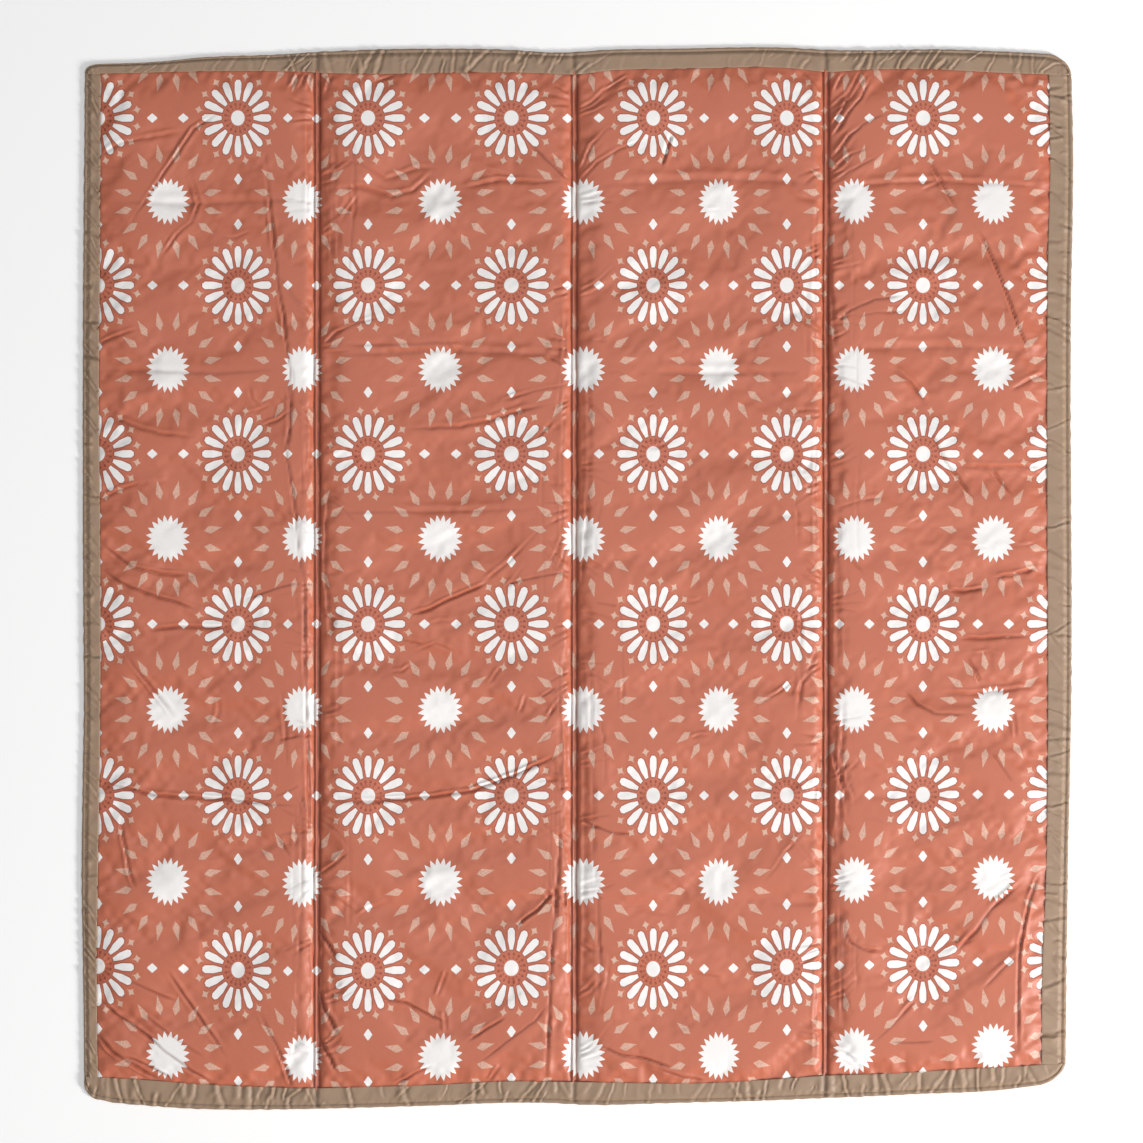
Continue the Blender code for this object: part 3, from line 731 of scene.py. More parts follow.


# ---------------------------------------------------------------- creases placed one by one

# Each crease: its line in mm, how deep it is, its half width, and the soft ridge on its left, in mm.
CREASES = [
    # storage creases, across the panels
    ([(-680, 540), (-560, 536), (-378, 541)], 0.7, 8, 0.8),
    ([(-350, 560), (-310, 563), (-265, 549), (-235, 557), (-205, 585)], 1.2, 4, 0.8),
    ([(-345, 602), (-310, 596), (-275, 574), (-225, 590), (-195, 588)], 0.8, 4, 0.5),
    ([(-165, 560), (-110, 571), (-60, 568), (-15, 572)], 1.3, 4, 1.0),
    ([(10, 560), (180, 567), (357, 562)], 0.6, 8, 1.0),
    ([(378, 560), (520, 567), (672, 563)], 0.9, 5, 0.9),
    ([(-683, 300), (-520, 292), (-425, 298)], 0.9, 7, 0.9),
    ([(-340, 334), (-250, 336), (-160, 338)], 0.7, 6, 0.5),
    ([(-357, 318), (-200, 326), (-21, 319)], 0.8, 7, 0.9),
    ([(100, 294), (180, 292), (326, 293)], 0.8, 8, 0.9),
    ([(389, 326), (550, 331), (672, 325)], 0.7, 8, 0.8),
    ([(-680, 235), (-640, 219), (-600, 207), (-550, 201)], 1.3, 4, 0.9),
    ([(-250, 213), (-170, 217), (-130, 224), (-80, 240), (-35, 249)], 1.4, 4, 1.0),
    ([(-360, 92), (-200, 95), (-50, 97)], 0.7, 6, 0.7),
    # panel 1
    ([(-645, 503), (-606, 563), (-575, 607), (-551, 643), (-503, 672)], 1.2, 2.6, 1.7),
    ([(-597, 460), (-575, 492), (-553, 510), (-543, 537), (-555, 575)], 1.0, 2.6, 1.5),
    ([(-690, 604), (-655, 626), (-610, 633), (-565, 640)], 0.9, 4, 0.8),
    ([(-690, 335), (-665, 346), (-630, 357)], 1.0, 3, 0.9),
    ([(-415, 150), (-412, 220), (-411, 300), (-425, 400), (-435, 480), (-441, 535), (-448, 605)],
     2.1, 2.7, 1.7),
    ([(-392, -20), (-403, 85), (-411, 145), (-417, 186), (-411, 225), (-410, 290)], 2.1, 2.8, 1.5),
    ([(-380, -407), (-385, -240), (-390, -100), (-391, 0), (-398, 40)], 2.1, 3.4, 1.2),
    ([(-450, 218), (-430, 226), (-408, 241)], 1.0, 2.8, 0.7),
    ([(-685, 112), (-655, 127), (-620, 137)], 0.9, 3, 0.8),
    ([(-683, 48), (-660, 30), (-640, 15), (-600, 6), (-555, 2)], 1.3, 3, 1.0),
    ([(-683, 12), (-655, -8), (-620, -22), (-575, -36), (-545, -48)], 1.6, 3, 1.1),
    ([(-475, -31), (-450, -22), (-420, -12), (-397, -8)], 1.9, 3.2, 0.9),
    ([(-618, -75), (-570, -71), (-500, -73)], 1.8, 3.2, 0.9),
    ([(-578, -200), (-602, -170), (-625, -142), (-650, -108)], 1.2, 2.5, 1.4),
    ([(-690, -293), (-645, -304), (-600, -314), (-500, -319), (-440, -325), (-395, -328)], 2.3, 3, 1.4),
    ([(-435, -315), (-412, -306), (-397, -295)], 1.0, 2.6, 0.9),
    ([(-386, -338), (-396, -311)], 1.2, 2.6, 0.8),
    ([(-629, -450), (-640, -425), (-646, -390), (-654, -348)], 1.5, 2.6, 1.2),
    ([(-430, -372), (-410, -400)], 0.9, 2.6, 0.8),
    ([(-400, -610), (-395, -500), (-393, -400), (-397, -300)], 1.3, 2.6, 1.2),
    ([(-642, -582), (-605, -598), (-572, -610)], 1.3, 2.6, 0.9),
    ([(-583, -567), (-557, -606), (-530, -643), (-497, -690)], 1.0, 2.5, 1.4),
    ([(-595, -727), (-630, -708), (-665, -688), (-690, -660)], 2.2, 3, 2.2),
    ([(-688, -610), (-655, -636), (-620, -657), (-585, -684), (-550, -708), (-515, -729)], 1.9, 2.8, 1.4),
    ([(-620, -632), (-585, -655), (-530, -690)], 1.0, 2.6, 0.8),
    ([(-648, -693), (-610, -707), (-578, -722)], 1.5, 2.6, 1.0),
    ([(-408, -730), (-418, -695), (-430, -665), (-453, -622)], 2.0, 2.8, 1.4),
    ([(-412, 702), (-397, 726)], 1.1, 2.4, 1.3),
    ([(-397, 702), (-387, 726)], 1.1, 2.4, 1.3),
    ([(-384, 700), (-379, 726)], 1.0, 2.3, 1.2),
    # panel 2
    ([(-358, 698), (-351, 725)], 1.0, 2.4, 1.2),
    ([(-290, 716), (-262, 724), (-235, 729)], 1.2, 2.6, 1.0),
    ([(-10, 572), (-45, 604), (-66, 623)], 1.8, 2.6, 1.1),
    ([(-362, 333), (-345, 352), (-315, 366), (-280, 374)], 1.2, 3, 1.2),
    ([(-48, 345), (-12, 341)], 1.1, 2.5, 0.9),
    ([(-45, 331), (-12, 327)], 1.1, 2.5, 0.9),
    ([(-40, 318), (-14, 301)], 1.1, 2.5, 0.9),
    ([(-105, 255), (-60, 268), (-12, 278)], 1.0, 2.8, 1.2),
    ([(-245, -55), (-210, -45), (-180, -30), (-155, -20), (-125, -6)], 2.0, 2.9, 1.1),
    ([(-135, -8), (-100, 20), (-70, 50), (-48, 72)], 0.8, 3.2, 0.9),
    ([(-105, -10), (-50, 2), (-10, 9)], 1.4, 2.8, 0.9),
    ([(-252, -90), (-222, -96)], 1.0, 2.6, 0.7),
    ([(-38, 20), (-27, 38), (-18, 64)], 1.1, 2.5, 1.0),
    ([(-26, 12), (-18, 28), (-13, 46)], 1.0, 2.4, 0.9),
    ([(-52, -172), (-28, -157)], 1.3, 2.5, 1.0),
    ([(-47, -216), (-35, -192), (-19, -166)], 1.1, 2.5, 1.1),
    ([(-52, -238), (-30, -216)], 1.0, 2.5, 1.0),
    ([(-82, -195), (-72, -168)], 0.7, 2.5, 0.9),
    ([(-365, -320), (-300, -322), (-210, -315), (-150, -307), (-90, -285), (-30, -257), (-12, -250)],
     2.2, 3, 1.4),
    ([(-21, -345), (-26, -430), (-35, -540), (-40, -650), (-44, -730)], 2.4, 3.6, 1.9),
    ([(-30, -452), (-55, -478), (-86, -502)], 1.8, 2.7, 1.2),
    ([(-52, -346), (-22, -334)], 1.0, 2.6, 0.9),
    ([(-366, -425), (-350, -412), (-330, -395)], 1.2, 2.7, 1.0),
    ([(-366, -505), (-356, -520), (-344, -541)], 1.9, 2.9, 1.4),
    ([(-366, -588), (-358, -618), (-341, -652)], 2.1, 3, 1.6),
    ([(-366, -655), (-352, -684), (-344, -705)], 1.9, 3, 1.4),
    ([(-285, -600), (-245, -608), (-215, -625), (-188, -637)], 1.8, 2.6, 1.0),
    ([(-200, -602), (-185, -560)], 0.8, 2.6, 1.0),
    ([(-186, -652), (-190, -618)], 0.7, 2.6, 1.1),
    ([(-158, -667), (-130, -650), (-100, -633)], 1.5, 2.8, 0.9),
    ([(-142, -700), (-100, -670), (-60, -640), (-38, -613)], 1.7, 3.2, 1.1),
    ([(-262, -725), (-232, -709), (-208, -699)], 1.4, 2.7, 0.9),
    ([(-126, -727), (-109, -703)], 0.9, 2.6, 1.2),
    # panel 3
    ([(8, 585), (22, 622), (45, 642), (72, 650)], 0.9, 2.6, 1.4),
    ([(8, 572), (30, 596), (62, 612), (92, 622)], 0.8, 2.6, 1.0),
    ([(40, 698), (75, 716)], 0.8, 2.6, 1.0),
    ([(138, 634), (130, 610), (124, 586)], 1.9, 3.2, 0.9),
    ([(28, -36), (60, -41)], 1.0, 2.8, 0.7),
    ([(68, -200), (67, -100), (62, -20)], 0.6, 2.5, 0.9),
    ([(255, -186), (290, -166), (312, -148)], 0.9, 2.6, 0.8),
    ([(318, -200), (322, -160), (350, -100)], 1.0, 4.5, 1.0),
    ([(6, -345), (25, -358), (50, -367), (80, -369)], 1.8, 2.6, 1.0),
    ([(268, -440), (290, -415), (302, -395), (328, -368)], 0.8, 2.5, 1.3),
    ([(30, -672), (65, -686), (100, -691), (144, -706)], 2.0, 2.8, 1.1),
    ([(118, -704), (150, -717), (188, -723)], 1.1, 2.6, 1.0),
    ([(8, -529), (24, -539)], 1.2, 2.6, 0.8),
    # panel 4, with the fan that runs into the far end of the right fold
    ([(371, 632), (388, 662), (408, 685), (422, 712)], 1.9, 2.7, 1.7),
    ([(371, 603), (390, 630), (412, 648), (447, 663)], 1.9, 2.9, 1.7),
    ([(371, 588), (395, 606), (420, 614)], 1.4, 2.6, 1.3),
    ([(371, 568), (392, 582), (432, 601)], 1.4, 2.8, 1.2),
    ([(371, 650), (383, 670), (392, 694)], 1.4, 2.5, 1.3),
    ([(374, 698), (384, 724)], 1.1, 2.4, 1.3),
    ([(545, 530), (525, 563), (506, 598)], 1.4, 2.5, 1.1),
    ([(657, 316), (636, 360), (618, 410), (597, 462), (570, 508)], 1.9, 2.5, 1.0),
    ([(372, 362), (395, 383), (430, 398), (472, 404)], 1.7, 4.5, 1.5),
    ([(400, 372), (430, 380), (472, 382)], 1.0, 3.2, 0.9),
    ([(371, 343), (396, 356)], 1.0, 2.6, 1.1),
    ([(455, 300), (480, 280), (502, 250)], 1.1, 4, 0.9),
    ([(625, 269), (650, 283), (674, 293)], 1.1, 4, 0.9),
    ([(573, 112), (552, 140), (530, 170), (507, 216)], 1.5, 2.6, 1.0),
    ([(627, 120), (611, 138), (597, 157)], 1.4, 2.6, 0.9),
    ([(546, 160), (600, 158), (683, 160)], 1.0, 4, 0.8),
    ([(378, 100), (410, 110), (442, 115)], 0.9, 4, 0.8),
    ([(600, 0), (625, 3), (662, 13)], 1.7, 3.2, 0.9),
    ([(533, -19), (560, -20), (588, -16)], 1.7, 3.2, 0.8),
    ([(546, -87), (580, -88), (610, -86), (655, -84)], 1.7, 3.2, 0.8),
    ([(581, -153), (573, -133), (561, -114)], 1.3, 2.5, 0.8),
    ([(471, -162), (490, -182), (515, -196), (562, -197)], 1.7, 2.9, 1.0),
    ([(520, -165), (560, -168), (655, -158)], 1.0, 4, 0.8),
    ([(632, -232), (627, -190)], 1.0, 2.6, 0.9),
    ([(628, -298), (612, -275), (596, -251)], 1.2, 2.6, 0.9),
    ([(392, -347), (388, -310), (380, -285), (371, -248)], 2.2, 3, 1.7),
    ([(402, -323), (392, -290), (380, -244)], 1.2, 2.6, 1.2),
    ([(385, -508), (396, -532), (412, -543), (442, -547)], 1.6, 2.6, 1.5),
    ([(386, -660), (384, -560), (382, -470)], 1.4, 2.5, 1.1),
    ([(393, -642), (389, -570), (387, -480)], 1.2, 2.5, 1.1),
    ([(548, -556), (578, -522), (602, -486), (645, -447)], 1.7, 4.5, 1.2),
    ([(590, -612), (615, -585), (642, -560)], 1.1, 4, 0.9),
    ([(431, -681), (460, -655), (494, -617)], 1.1, 3.5, 1.1),
    ([(455, -680), (490, -684), (522, -683)], 1.4, 2.8, 0.9),
    ([(655, -470), (645, -540), (643, -600), (643, -702)], 2.3, 2.8, 2.0),
    ([(649, -508), (657, -470), (667, -438)], 1.4, 2.7, 1.2),
]
FOLD_SIDES = [(fold_x, away) for fold_x in FOLDS for away in (-1, 1)]
PARALLELS = 11
LOOSE_CREASES = 46
FAN_SEED, PARALLEL_SEED, LOOSE_SEED = 77, 80, 78


def fine_crease(dice, line, depth, ridge, half_width=(2.4, 3.4)):
    """A faint crease along a line, with its depth, half width and ridge drawn from those ranges."""
    return np.array(line), dice.uniform(*depth), dice.uniform(*half_width), dice.uniform(*ridge)


def fold_fans():
    """Fine creases that run out from the folds in small fans, where the sewing draws the cloth in."""
    dice = np.random.default_rng(FAN_SEED)
    made = []
    for fold_x, away in FOLD_SIDES:
        y = Y_TAPE_NEAR + dice.uniform(15, 60) * MM
        while y < Y_TAPE_FAR - 40 * MM:
            lean = dice.uniform(-1.0, 1.0)
            for k in range(dice.integers(2, 4)):
                reach = dice.uniform(22, 55) * MM
                start = y + k * dice.uniform(5, 10) * MM
                drift = (lean + 0.22 * k) * reach
                middle = (fold_x + away * (6 * MM + reach * 0.5), start + drift * 0.35)
                tip = (fold_x + away * (6 * MM + reach), start + drift)
                line = [(fold_x + away * 5 * MM, start), middle, tip]
                made.append(fine_crease(dice, line, (0.35, 0.8), (0.4, 0.9), (2.5, 3.4)))
            y += dice.uniform(70, 170) * MM
    return made


def fold_parallels():
    """Long shallow creases beside each fold, nearly in line with it, left by folding it many times."""
    dice = np.random.default_rng(PARALLEL_SEED)
    made = []
    for fold_x, away in FOLD_SIDES:
        for _ in range(PARALLELS):
            reach = dice.uniform(60, 260) * MM
            y = dice.uniform(Y_TAPE_NEAR + 20 * MM, Y_TAPE_FAR - 20 * MM - reach)
            off = (8 + 38 * dice.uniform() ** 1.6) * MM
            lean = dice.normal(0, 6) * MM
            belly = dice.normal(0, 3) * MM
            offs = (off, off + belly + lean / 2, max(off + lean, 7 * MM))
            line = [(fold_x + away * at, y + k * reach / 2) for k, at in enumerate(offs)]
            made.append(fine_crease(dice, line, (0.35, 1.0), (0.4, 1.0)))
    return made


def loose_creases():
    """Short stray creases, scattered over the panels."""
    dice = np.random.default_rng(LOOSE_SEED)
    made = []
    for _ in range(LOOSE_CREASES):
        x = dice.uniform(X_TAPE_LEFT + 25 * MM, X_TAPE_RIGHT - 25 * MM)
        y = dice.uniform(Y_TAPE_NEAR + 25 * MM, Y_TAPE_FAR - 25 * MM)
        angle = dice.normal(0, 0.7)
        reach = dice.uniform(20, 55) * MM
        dx, dy = math.cos(angle) * reach / 2, math.sin(angle) * reach / 2
        sag = dice.uniform(-0.18, 0.18) * reach
        middle = (x - sag * math.sin(angle), y + sag * math.cos(angle))
        made.append(fine_crease(dice, [(x - dx, y - dy), middle, (x + dx, y + dy)], (0.25, 0.6), (0.3, 0.6)))
    return made


def measured_from(points, px, py):
    """Where places lie along a line: how far off it, to which side, and what share along it."""
    best = np.full(px.shape, np.inf)
    side = np.zeros(px.shape)
    travelled = np.zeros(px.shape)
    starts = distances(points)
    for a, b, start in zip(points, points[1:], starts):
        d = b - a
        size = np.hypot(*d)
        t = np.clip(((px - a[0]) * d[0] + (py - a[1]) * d[1]) / size**2, 0, 1)
        away = np.hypot(px - a[0] - t * d[0], py - a[1] - t * d[1])
        cross = (d[0] * (py - a[1]) - d[1] * (px - a[0])) / size
        nearer = away < best
        best = np.where(nearer, away, best)
        side = np.where(nearer, np.sign(cross) * away, side)
        travelled = np.where(nearer, start + t * size, travelled)
    return best, side, travelled / starts[-1]


def crease_heights(x, y):
    """What all the creases add to the face, and the painted shade that darkens them, from 0 to 1."""
    height = np.zeros_like(x)
    shade = np.zeros_like(x)
    placed = [(np.array(line) * MM, *rest) for line, *rest in CREASES]
    for number, crease in enumerate(placed + fold_fans() + fold_parallels() + loose_creases()):
        points, depth, half_width, ridge = crease
        reach = half_width * MM * 7
        low, high = points.min(0) - reach, points.max(0) + reach
        near = (x > low[0]) & (x < high[0]) & (y > low[1]) & (y < high[1])
        px, py = x[near], y[near]
        best, side, along = measured_from(points, px, py)
        s = side + 0.8 * MM * wave_noise(px, py, 40 * MM, 40 * MM, 100 + number, 2)
        # it fades towards both ends, and stops soon after them
        taper = ease(along, 0, 0.2) * ease(1 - along, 0, 0.2) * 0.9 + 0.1
        w = max(0.8 * half_width, 2.1) * MM
        taper *= bell(np.clip(best - abs(side), 0, None), w)
        # a sharp valley, a soft bank on its left and a faint one on its right
        valley = np.exp(-np.sqrt((s / (0.62 * w)) ** 2 + 0.12) + 0.35)
        banks = bell(s - 1.65 * w, w) + 0.35 * bell(s + 2.0 * w, 1.5 * w)
        height[near] += taper * MM * (1.6 * ridge * banks - 1.45 * depth * valley)
        # painted shade along each crease's valley
        darkest = 0.80 * min(1.0, (depth / 1.6) ** 1.3)
        shade[near] = np.maximum(shade[near], darkest * bell(s, max(0.5 * w, 1.5 * MM)) * taper)
    return height, shade


# ---------------------------------------------------------------- the printed face

# Grid lines beside each fold, in mm from it: close together where the cloth turns sharply.
NEAR_FOLD = [0, 0.6, 1.2, 1.8, 2.4, 3.0, 3.6, 4.3, 5.2, 6.4, 8, 10, 12, 14.5, 17, 20, 23, 26, 29.5, 33]
FACE_MARGIN = 14 * MM
CUT_1 = (X_LEFT + FOLDS[0]) / 2
CUT_4 = (FOLDS[2] + X_RIGHT) / 2
X_MARKS = {X_LEFT + FACE_MARGIN, X_TAPE_LEFT, CUT_1, CUT_LEFT}
X_MARKS |= {CUT_RIGHT, CUT_4, X_TAPE_RIGHT, X_RIGHT - FACE_MARGIN}
X_MARKS |= {fold_x + away * d * MM for fold_x, away in FOLD_SIDES for d in NEAR_FOLD}
X_MARKS = sorted({round(mark, 6) for mark in X_MARKS})
Y_MARKS = [Y_NEAR + FACE_MARGIN, Y_TAPE_NEAR, 0.0, Y_TAPE_FAR, Y_FAR - FACE_MARGIN]
FACE_X = stations(X_MARKS, 2.5 * MM)
FACE_Y = stations(Y_MARKS, 1.9 * MM)
GX, GY = np.meshgrid(FACE_X, FACE_Y, indexing="ij")

# The highest places of the face flatten off towards this height, over the last of the rise.
CEILING = Z_CROWN + 2.2 * MM
CEILING_SOFT = 1.5 * MM
# Where the padding bulges to the right of the centre fold, from y to y.
BULGES = ((0.034, 0.223), (-0.176, 0.013), (-0.281, -0.218), (-0.418, -0.355))


def padding_height(free):
    """Rolls and bulges of the padding beside the folds, and its soft unevenness everywhere."""
    height = np.zeros_like(GX)
    for fold_x in FOLDS:
        left_of = fold_x - GX
        breath = 1 + 0.45 * wave_noise(GX, GY, 500 * MM, 160 * MM, 21, 2)
        height += 1.3 * MM * bell(left_of - 17 * MM, 9 * MM) * breath
        lift = np.clip(0.45 + 0.9 * line_noise(GY, 260 * MM, 22), 0, 1.2)
        height += 1.0 * MM * lift * bell(left_of + 11.5 * MM, 5.5 * MM)
    for low, high in BULGES:
        along = np.clip(1 - ((GY - (low + high) / 2) / ((high - low) / 2)) ** 2, 0, None)
        height += 1.6 * MM * along * bell(GX - 34 * MM, 15 * MM)
    height += 0.42 * MM * wave_noise(GX, GY, 330 * MM, 85 * MM, 3)
    height += 0.16 * MM * wave_noise(GX, GY, 46 * MM, 26 * MM, 4)
    return height * free


def seam_puckers(fd, td, free):
    """Short puckers that run out from the seams at the folds and along the binding."""
    fold_pucker = wave_noise(GX, GY, 120 * MM, 13 * MM, 5, 2) * np.exp(-fd / (13 * MM))
    lengthwise = np.minimum(abs(GY - Y_TAPE_NEAR), abs(GY - Y_TAPE_FAR)) < td + 1 * MM
    along_x = wave_noise(GX, GY, 15 * MM, 130 * MM, 6, 2)
    along_y = wave_noise(GX, GY, 130 * MM, 15 * MM, 8, 2)
    edge_pucker = np.where(lengthwise, along_x, along_y) * np.exp(-td / (16 * MM))
    return 0.75 * MM * fold_pucker * ease(fd, 2.5 * MM, 8 * MM) + 0.7 * MM * edge_pucker * free


def tucked_under(height):
    """How far the face sinks where it runs in under the binding."""
    across = np.maximum(X_TAPE_LEFT - GX, GX - X_TAPE_RIGHT)
    along = np.maximum(Y_TAPE_NEAR - GY, GY - Y_TAPE_FAR)
    return np.minimum(2.4 * MM, height - Z_SEAM) * ease(np.maximum(across, along), 0.5 * MM, 5 * MM)


def fold_grooves(fold_x):
    """The grooves to the left and right of a welt, as shares of their depths, and the left one's strength."""
    off = GX - fold_x - 0.5 * MM * line_noise(GY, 70 * MM, 33)
    left = bell(off + 3.9 * MM, 1.1 * MM)
    right = bell(off - 4.1 * MM, 2.1 * MM) * (1 + 0.35 * line_noise(GY, 55 * MM, 34))
    faint = np.clip(0.42 + 0.9 * line_noise(GY, 210 * MM, 35 + round(fold_x * 10)), 0, 1.2)
    return faint * left, right


def face_surface():
    """The whole face as one grid of points, with its painted shade."""
    fd, td = fold_distance(GX), tape_distance(GX, GY)
    free = ease(fd, 3 * MM, 14 * MM) * ease(td, 0, 12 * MM)
    height = base_height(GX, GY) + padding_height(free) + seam_puckers(fd, td, free)
    height -= tucked_under(height)
    creases, shade = crease_heights(GX, GY)
    height += creases * ease(fd, 1.5 * MM, 7 * MM) * ease(td, 0, 8 * MM)
    x, y = lay(GX, GY)
    moved = simulate_puckers(FACE_X, FACE_Y)
    x += moved[..., 0] * DRIFT_SHARE
    y += moved[..., 1] * DRIFT_SHARE
    height += moved[..., 2] * PUCKER_SHARE * ease(fd, 2.5 * MM, 9 * MM)
    height = np.maximum(height, Z_SEAM - 0.3 * MM)
    knee = CEILING - CEILING_SOFT
    over = np.clip(height - knee, 0, None)
    height = np.where(over > 0, knee + CEILING_SOFT * (1 - np.exp(-over / CEILING_SOFT)), height)
    for fold_x in FOLDS:
        left, right = fold_grooves(fold_x)
        height -= MM * (0.5 * left + 1.2 * right) * ease(td, -1 * MM, 2 * MM)
        # painted shade in the grooves beside each welt, strongest in the right one
        shade = np.maximum(shade, np.maximum(0.45 * left, 0.85 * np.clip(right, 0, 1)))
    # painted shadow along the binding's inner edge
    shade = np.maximum(shade, 0.50 * np.exp(-td / (1.3 * MM)))
    return np.stack([x, y, height], -1), shade


face_points, face_painted_shade = face_surface()
face_normals = grid_normals(face_points)
face_uv = {
    "print": print_uv(GY, face_points),
    "cloth": face_points[..., :2],
}

# Cut along the folds, under the welts, and down the middle of each panel, where nothing shows.
FACE_CUTS = (
    ("1a", "left", X_LEFT, CUT_1, "padding_1"),
    ("1b", "left", CUT_1, FOLDS[0], "padding_1"),
    ("2a", "left", FOLDS[0], CUT_LEFT, "padding_2a"),
    ("2b", "centre", CUT_LEFT, FOLDS[1], "padding_2b"),
    ("3a", "centre", FOLDS[1], CUT_RIGHT, "padding_3a"),
    ("3b", "right", CUT_RIGHT, FOLDS[2], "padding_3b"),
    ("4a", "right", FOLDS[2], CUT_4, "padding_4"),
    ("4b", "right", CUT_4, X_RIGHT, "padding_4"),
)
for part, side, start, end, padding in FACE_CUTS:
    cut = span_columns(FACE_X, (start, end))
    uv = {layer: values[cut] for layer, values in face_uv.items()}
    face = grid_piece(f"printed_face_{part}", face_points[cut], PRINT, uv)
    shade_attribute(face, face_painted_shade[cut])
    keep_normals(face, face_normals[cut])
    attach(face, [f"face_{part[0]}"])


def face_height(x, y):
    """The height of the finished face at straight-blanket places x, y."""
    i = np.clip(np.searchsorted(FACE_X, x) - 1, 0, len(FACE_X) - 2)
    j = np.clip(np.searchsorted(FACE_Y, y) - 1, 0, len(FACE_Y) - 2)
    s = np.clip((x - FACE_X[i]) / (FACE_X[i + 1] - FACE_X[i]), 0, 1)
    t = np.clip((y - FACE_Y[j]) / (FACE_Y[j + 1] - FACE_Y[j]), 0, 1)
    z = face_points[..., 2]
    low = z[i, j] * (1 - s) + z[i + 1, j] * s
    high = z[i, j + 1] * (1 - s) + z[i + 1, j + 1] * s
    return low * (1 - t) + high * t


# ---------------------------------------------------------------- the welts at the folds

WELT_HALF = 2.4 * MM
ROW_OFFSET = 3.9 * MM


def make_welt(side):
    """The narrow tuck of printed cloth that stands along a fold, between its two seams."""
    ys = stations([Y_TAPE_NEAR - 4 * MM, Y_TAPE_FAR + 4 * MM], 4 * MM)
    t, y = np.meshgrid(np.linspace(-1, 1, 11), ys, indexing="ij")
    turn = t * math.pi / 2
    middle = JOINTS[side][2] - 0.6 * MM + 0.5 * MM * line_noise(y, 90 * MM, 31)
    x = middle + WELT_HALF * np.sin(turn) * (1 - 0.12 * abs(t))
    foot = Z_SEAM - 0.9 * MM
    tall = (Z_WELT + 0.5 * MM - foot) * (1 + 0.22 * line_noise(y, 35 * MM, 32))
    points = laid(x, y, foot + tall * np.cos(turn) ** 0.7)
    uv = {"print": print_uv(y, points), "cloth": points[..., :2]}
    welt = grid_piece(f"fold_welt_{side}", points, PRINT, uv)
    # painted shade over the welt, darkest at its two feet in the grooves
    shade_attribute(welt, 0.30 + 0.5 * abs(t) ** 3)
    attach(welt, [f"fold_strip_{side}"])


for side in SPANS:
    make_welt(side)


# ---------------------------------------------------------------- the backing

BACK_X = stations(X_MARKS, 6 * MM)
BACK_Y = stations(Y_MARKS, 6 * MM)
# The panels' numbers in the CAD that each length of backing or binding stands for.
PANELS = {"left": (1, 2), "centre": (3,), "right": (4,)}


def backing_height(x, y):
    """The underside: flat on the floor, drawn up a little at the sewn folds and the binding.

    Gives the height and the painted shade in the rows of stitches, from 0 to 1.
    """
    fd, td = fold_distance(x), tape_distance(x, y)
    draw = 1.1 * MM * bell(fd, 4 * MM) + 0.5 * MM * np.exp(-td / (10 * MM))
    pucker = wave_noise(x, y, 90 * MM, 15 * MM, 41, 2) * np.exp(-fd / (22 * MM))
    dent = np.clip(wave_noise(x, y, 150 * MM, 120 * MM, 42), 0, None) * ease(td, 0, 20 * MM)
    z = 0.25 * MM + draw + 0.5 * MM * np.clip(pucker + 0.2, 0, None) + 0.5 * MM * dent
    stitched = bell(fd - ROW_OFFSET, 1.2 * MM)
    return z + 0.3 * MM * stitched, 0.6 * stitched


bx, by = np.meshgrid(BACK_X, BACK_Y, indexing="ij")
backing_z, backing_shade = backing_height(bx, by)
backing_points = laid(bx, by, backing_z)
backing_normals = -grid_normals(backing_points)
for side, span in SPANS.items():
    cut = span_columns(BACK_X, span)
    uv = {"cloth": backing_points[cut][..., :2]}
    backing = grid_piece(f"backing_{side}", backing_points[cut], BACKING, uv, flip=True)
    shade_attribute(backing, backing_shade[cut])
    keep_normals(backing, backing_normals[cut])
    attach(backing, [f"backing_{panel}" for panel in PANELS[side]])


# ---------------------------------------------------------------- the wadding

PAD_MARGIN = FACE_MARGIN + 2 * MM
SEAM_CLEAR = 7 * MM
PAD_FLOOR = 1.9 * MM
PAD_LEAST = 0.3 * MM
PADS = (
    ("padding_1", "left", X_LEFT + PAD_MARGIN, FOLDS[0] - SEAM_CLEAR),
    ("padding_2a", "left", FOLDS[0] + SEAM_CLEAR, CUT_LEFT),
    ("padding_2b", "centre", CUT_LEFT, FOLDS[1] - SEAM_CLEAR),
    ("padding_3a", "centre", FOLDS[1] + SEAM_CLEAR, CUT_RIGHT),
    ("padding_3b", "right", CUT_RIGHT, FOLDS[2] - SEAM_CLEAR),
    ("padding_4", "right", FOLDS[2] + SEAM_CLEAR, X_RIGHT - PAD_MARGIN),
)


def make_wadding(name, side, low, high):
    """A closed pad between face and backing, from one seam to the next or to the middle of a panel."""
    ys = stations([Y_NEAR + PAD_MARGIN, Y_FAR - PAD_MARGIN], 6 * MM)
    x, y = np.meshgrid(stations([low, high], 5 * MM), ys, indexing="ij")
    # the top keeps under the lowest part of the face anywhere near it
    shares = (-1, -0.5, 0, 0.5, 1)
    around = [face_height(x + a * 5 * MM, y + b * 6.5 * MM) for a in shares for b in shares]
    top = np.maximum(np.min(around, axis=0) - 1.0 * MM, PAD_FLOOR + PAD_LEAST)
    points = np.stack([laid(x, y, z) for z in (top, np.full_like(top, PAD_FLOOR))])
    quads, index = grid_quads(*x.shape)
    ring = np.r_[index[:, 0], index[-1, 1:], index[-2::-1, -1], index[0, -2:0:-1]]
    following = np.roll(ring, -1)
    wall = np.stack([ring, ring + x.size, following + x.size, following], -1)
    pad = mesh_piece(name, points, np.r_[quads, quads[:, ::-1] + x.size, wall], WADDING)
    panel = name.removeprefix("padding_")[0]
    attach(pad, [f"wadding_{panel}"])


for pad in PADS:
    make_wadding(*pad)


# ---------------------------------------------------------------- the binding

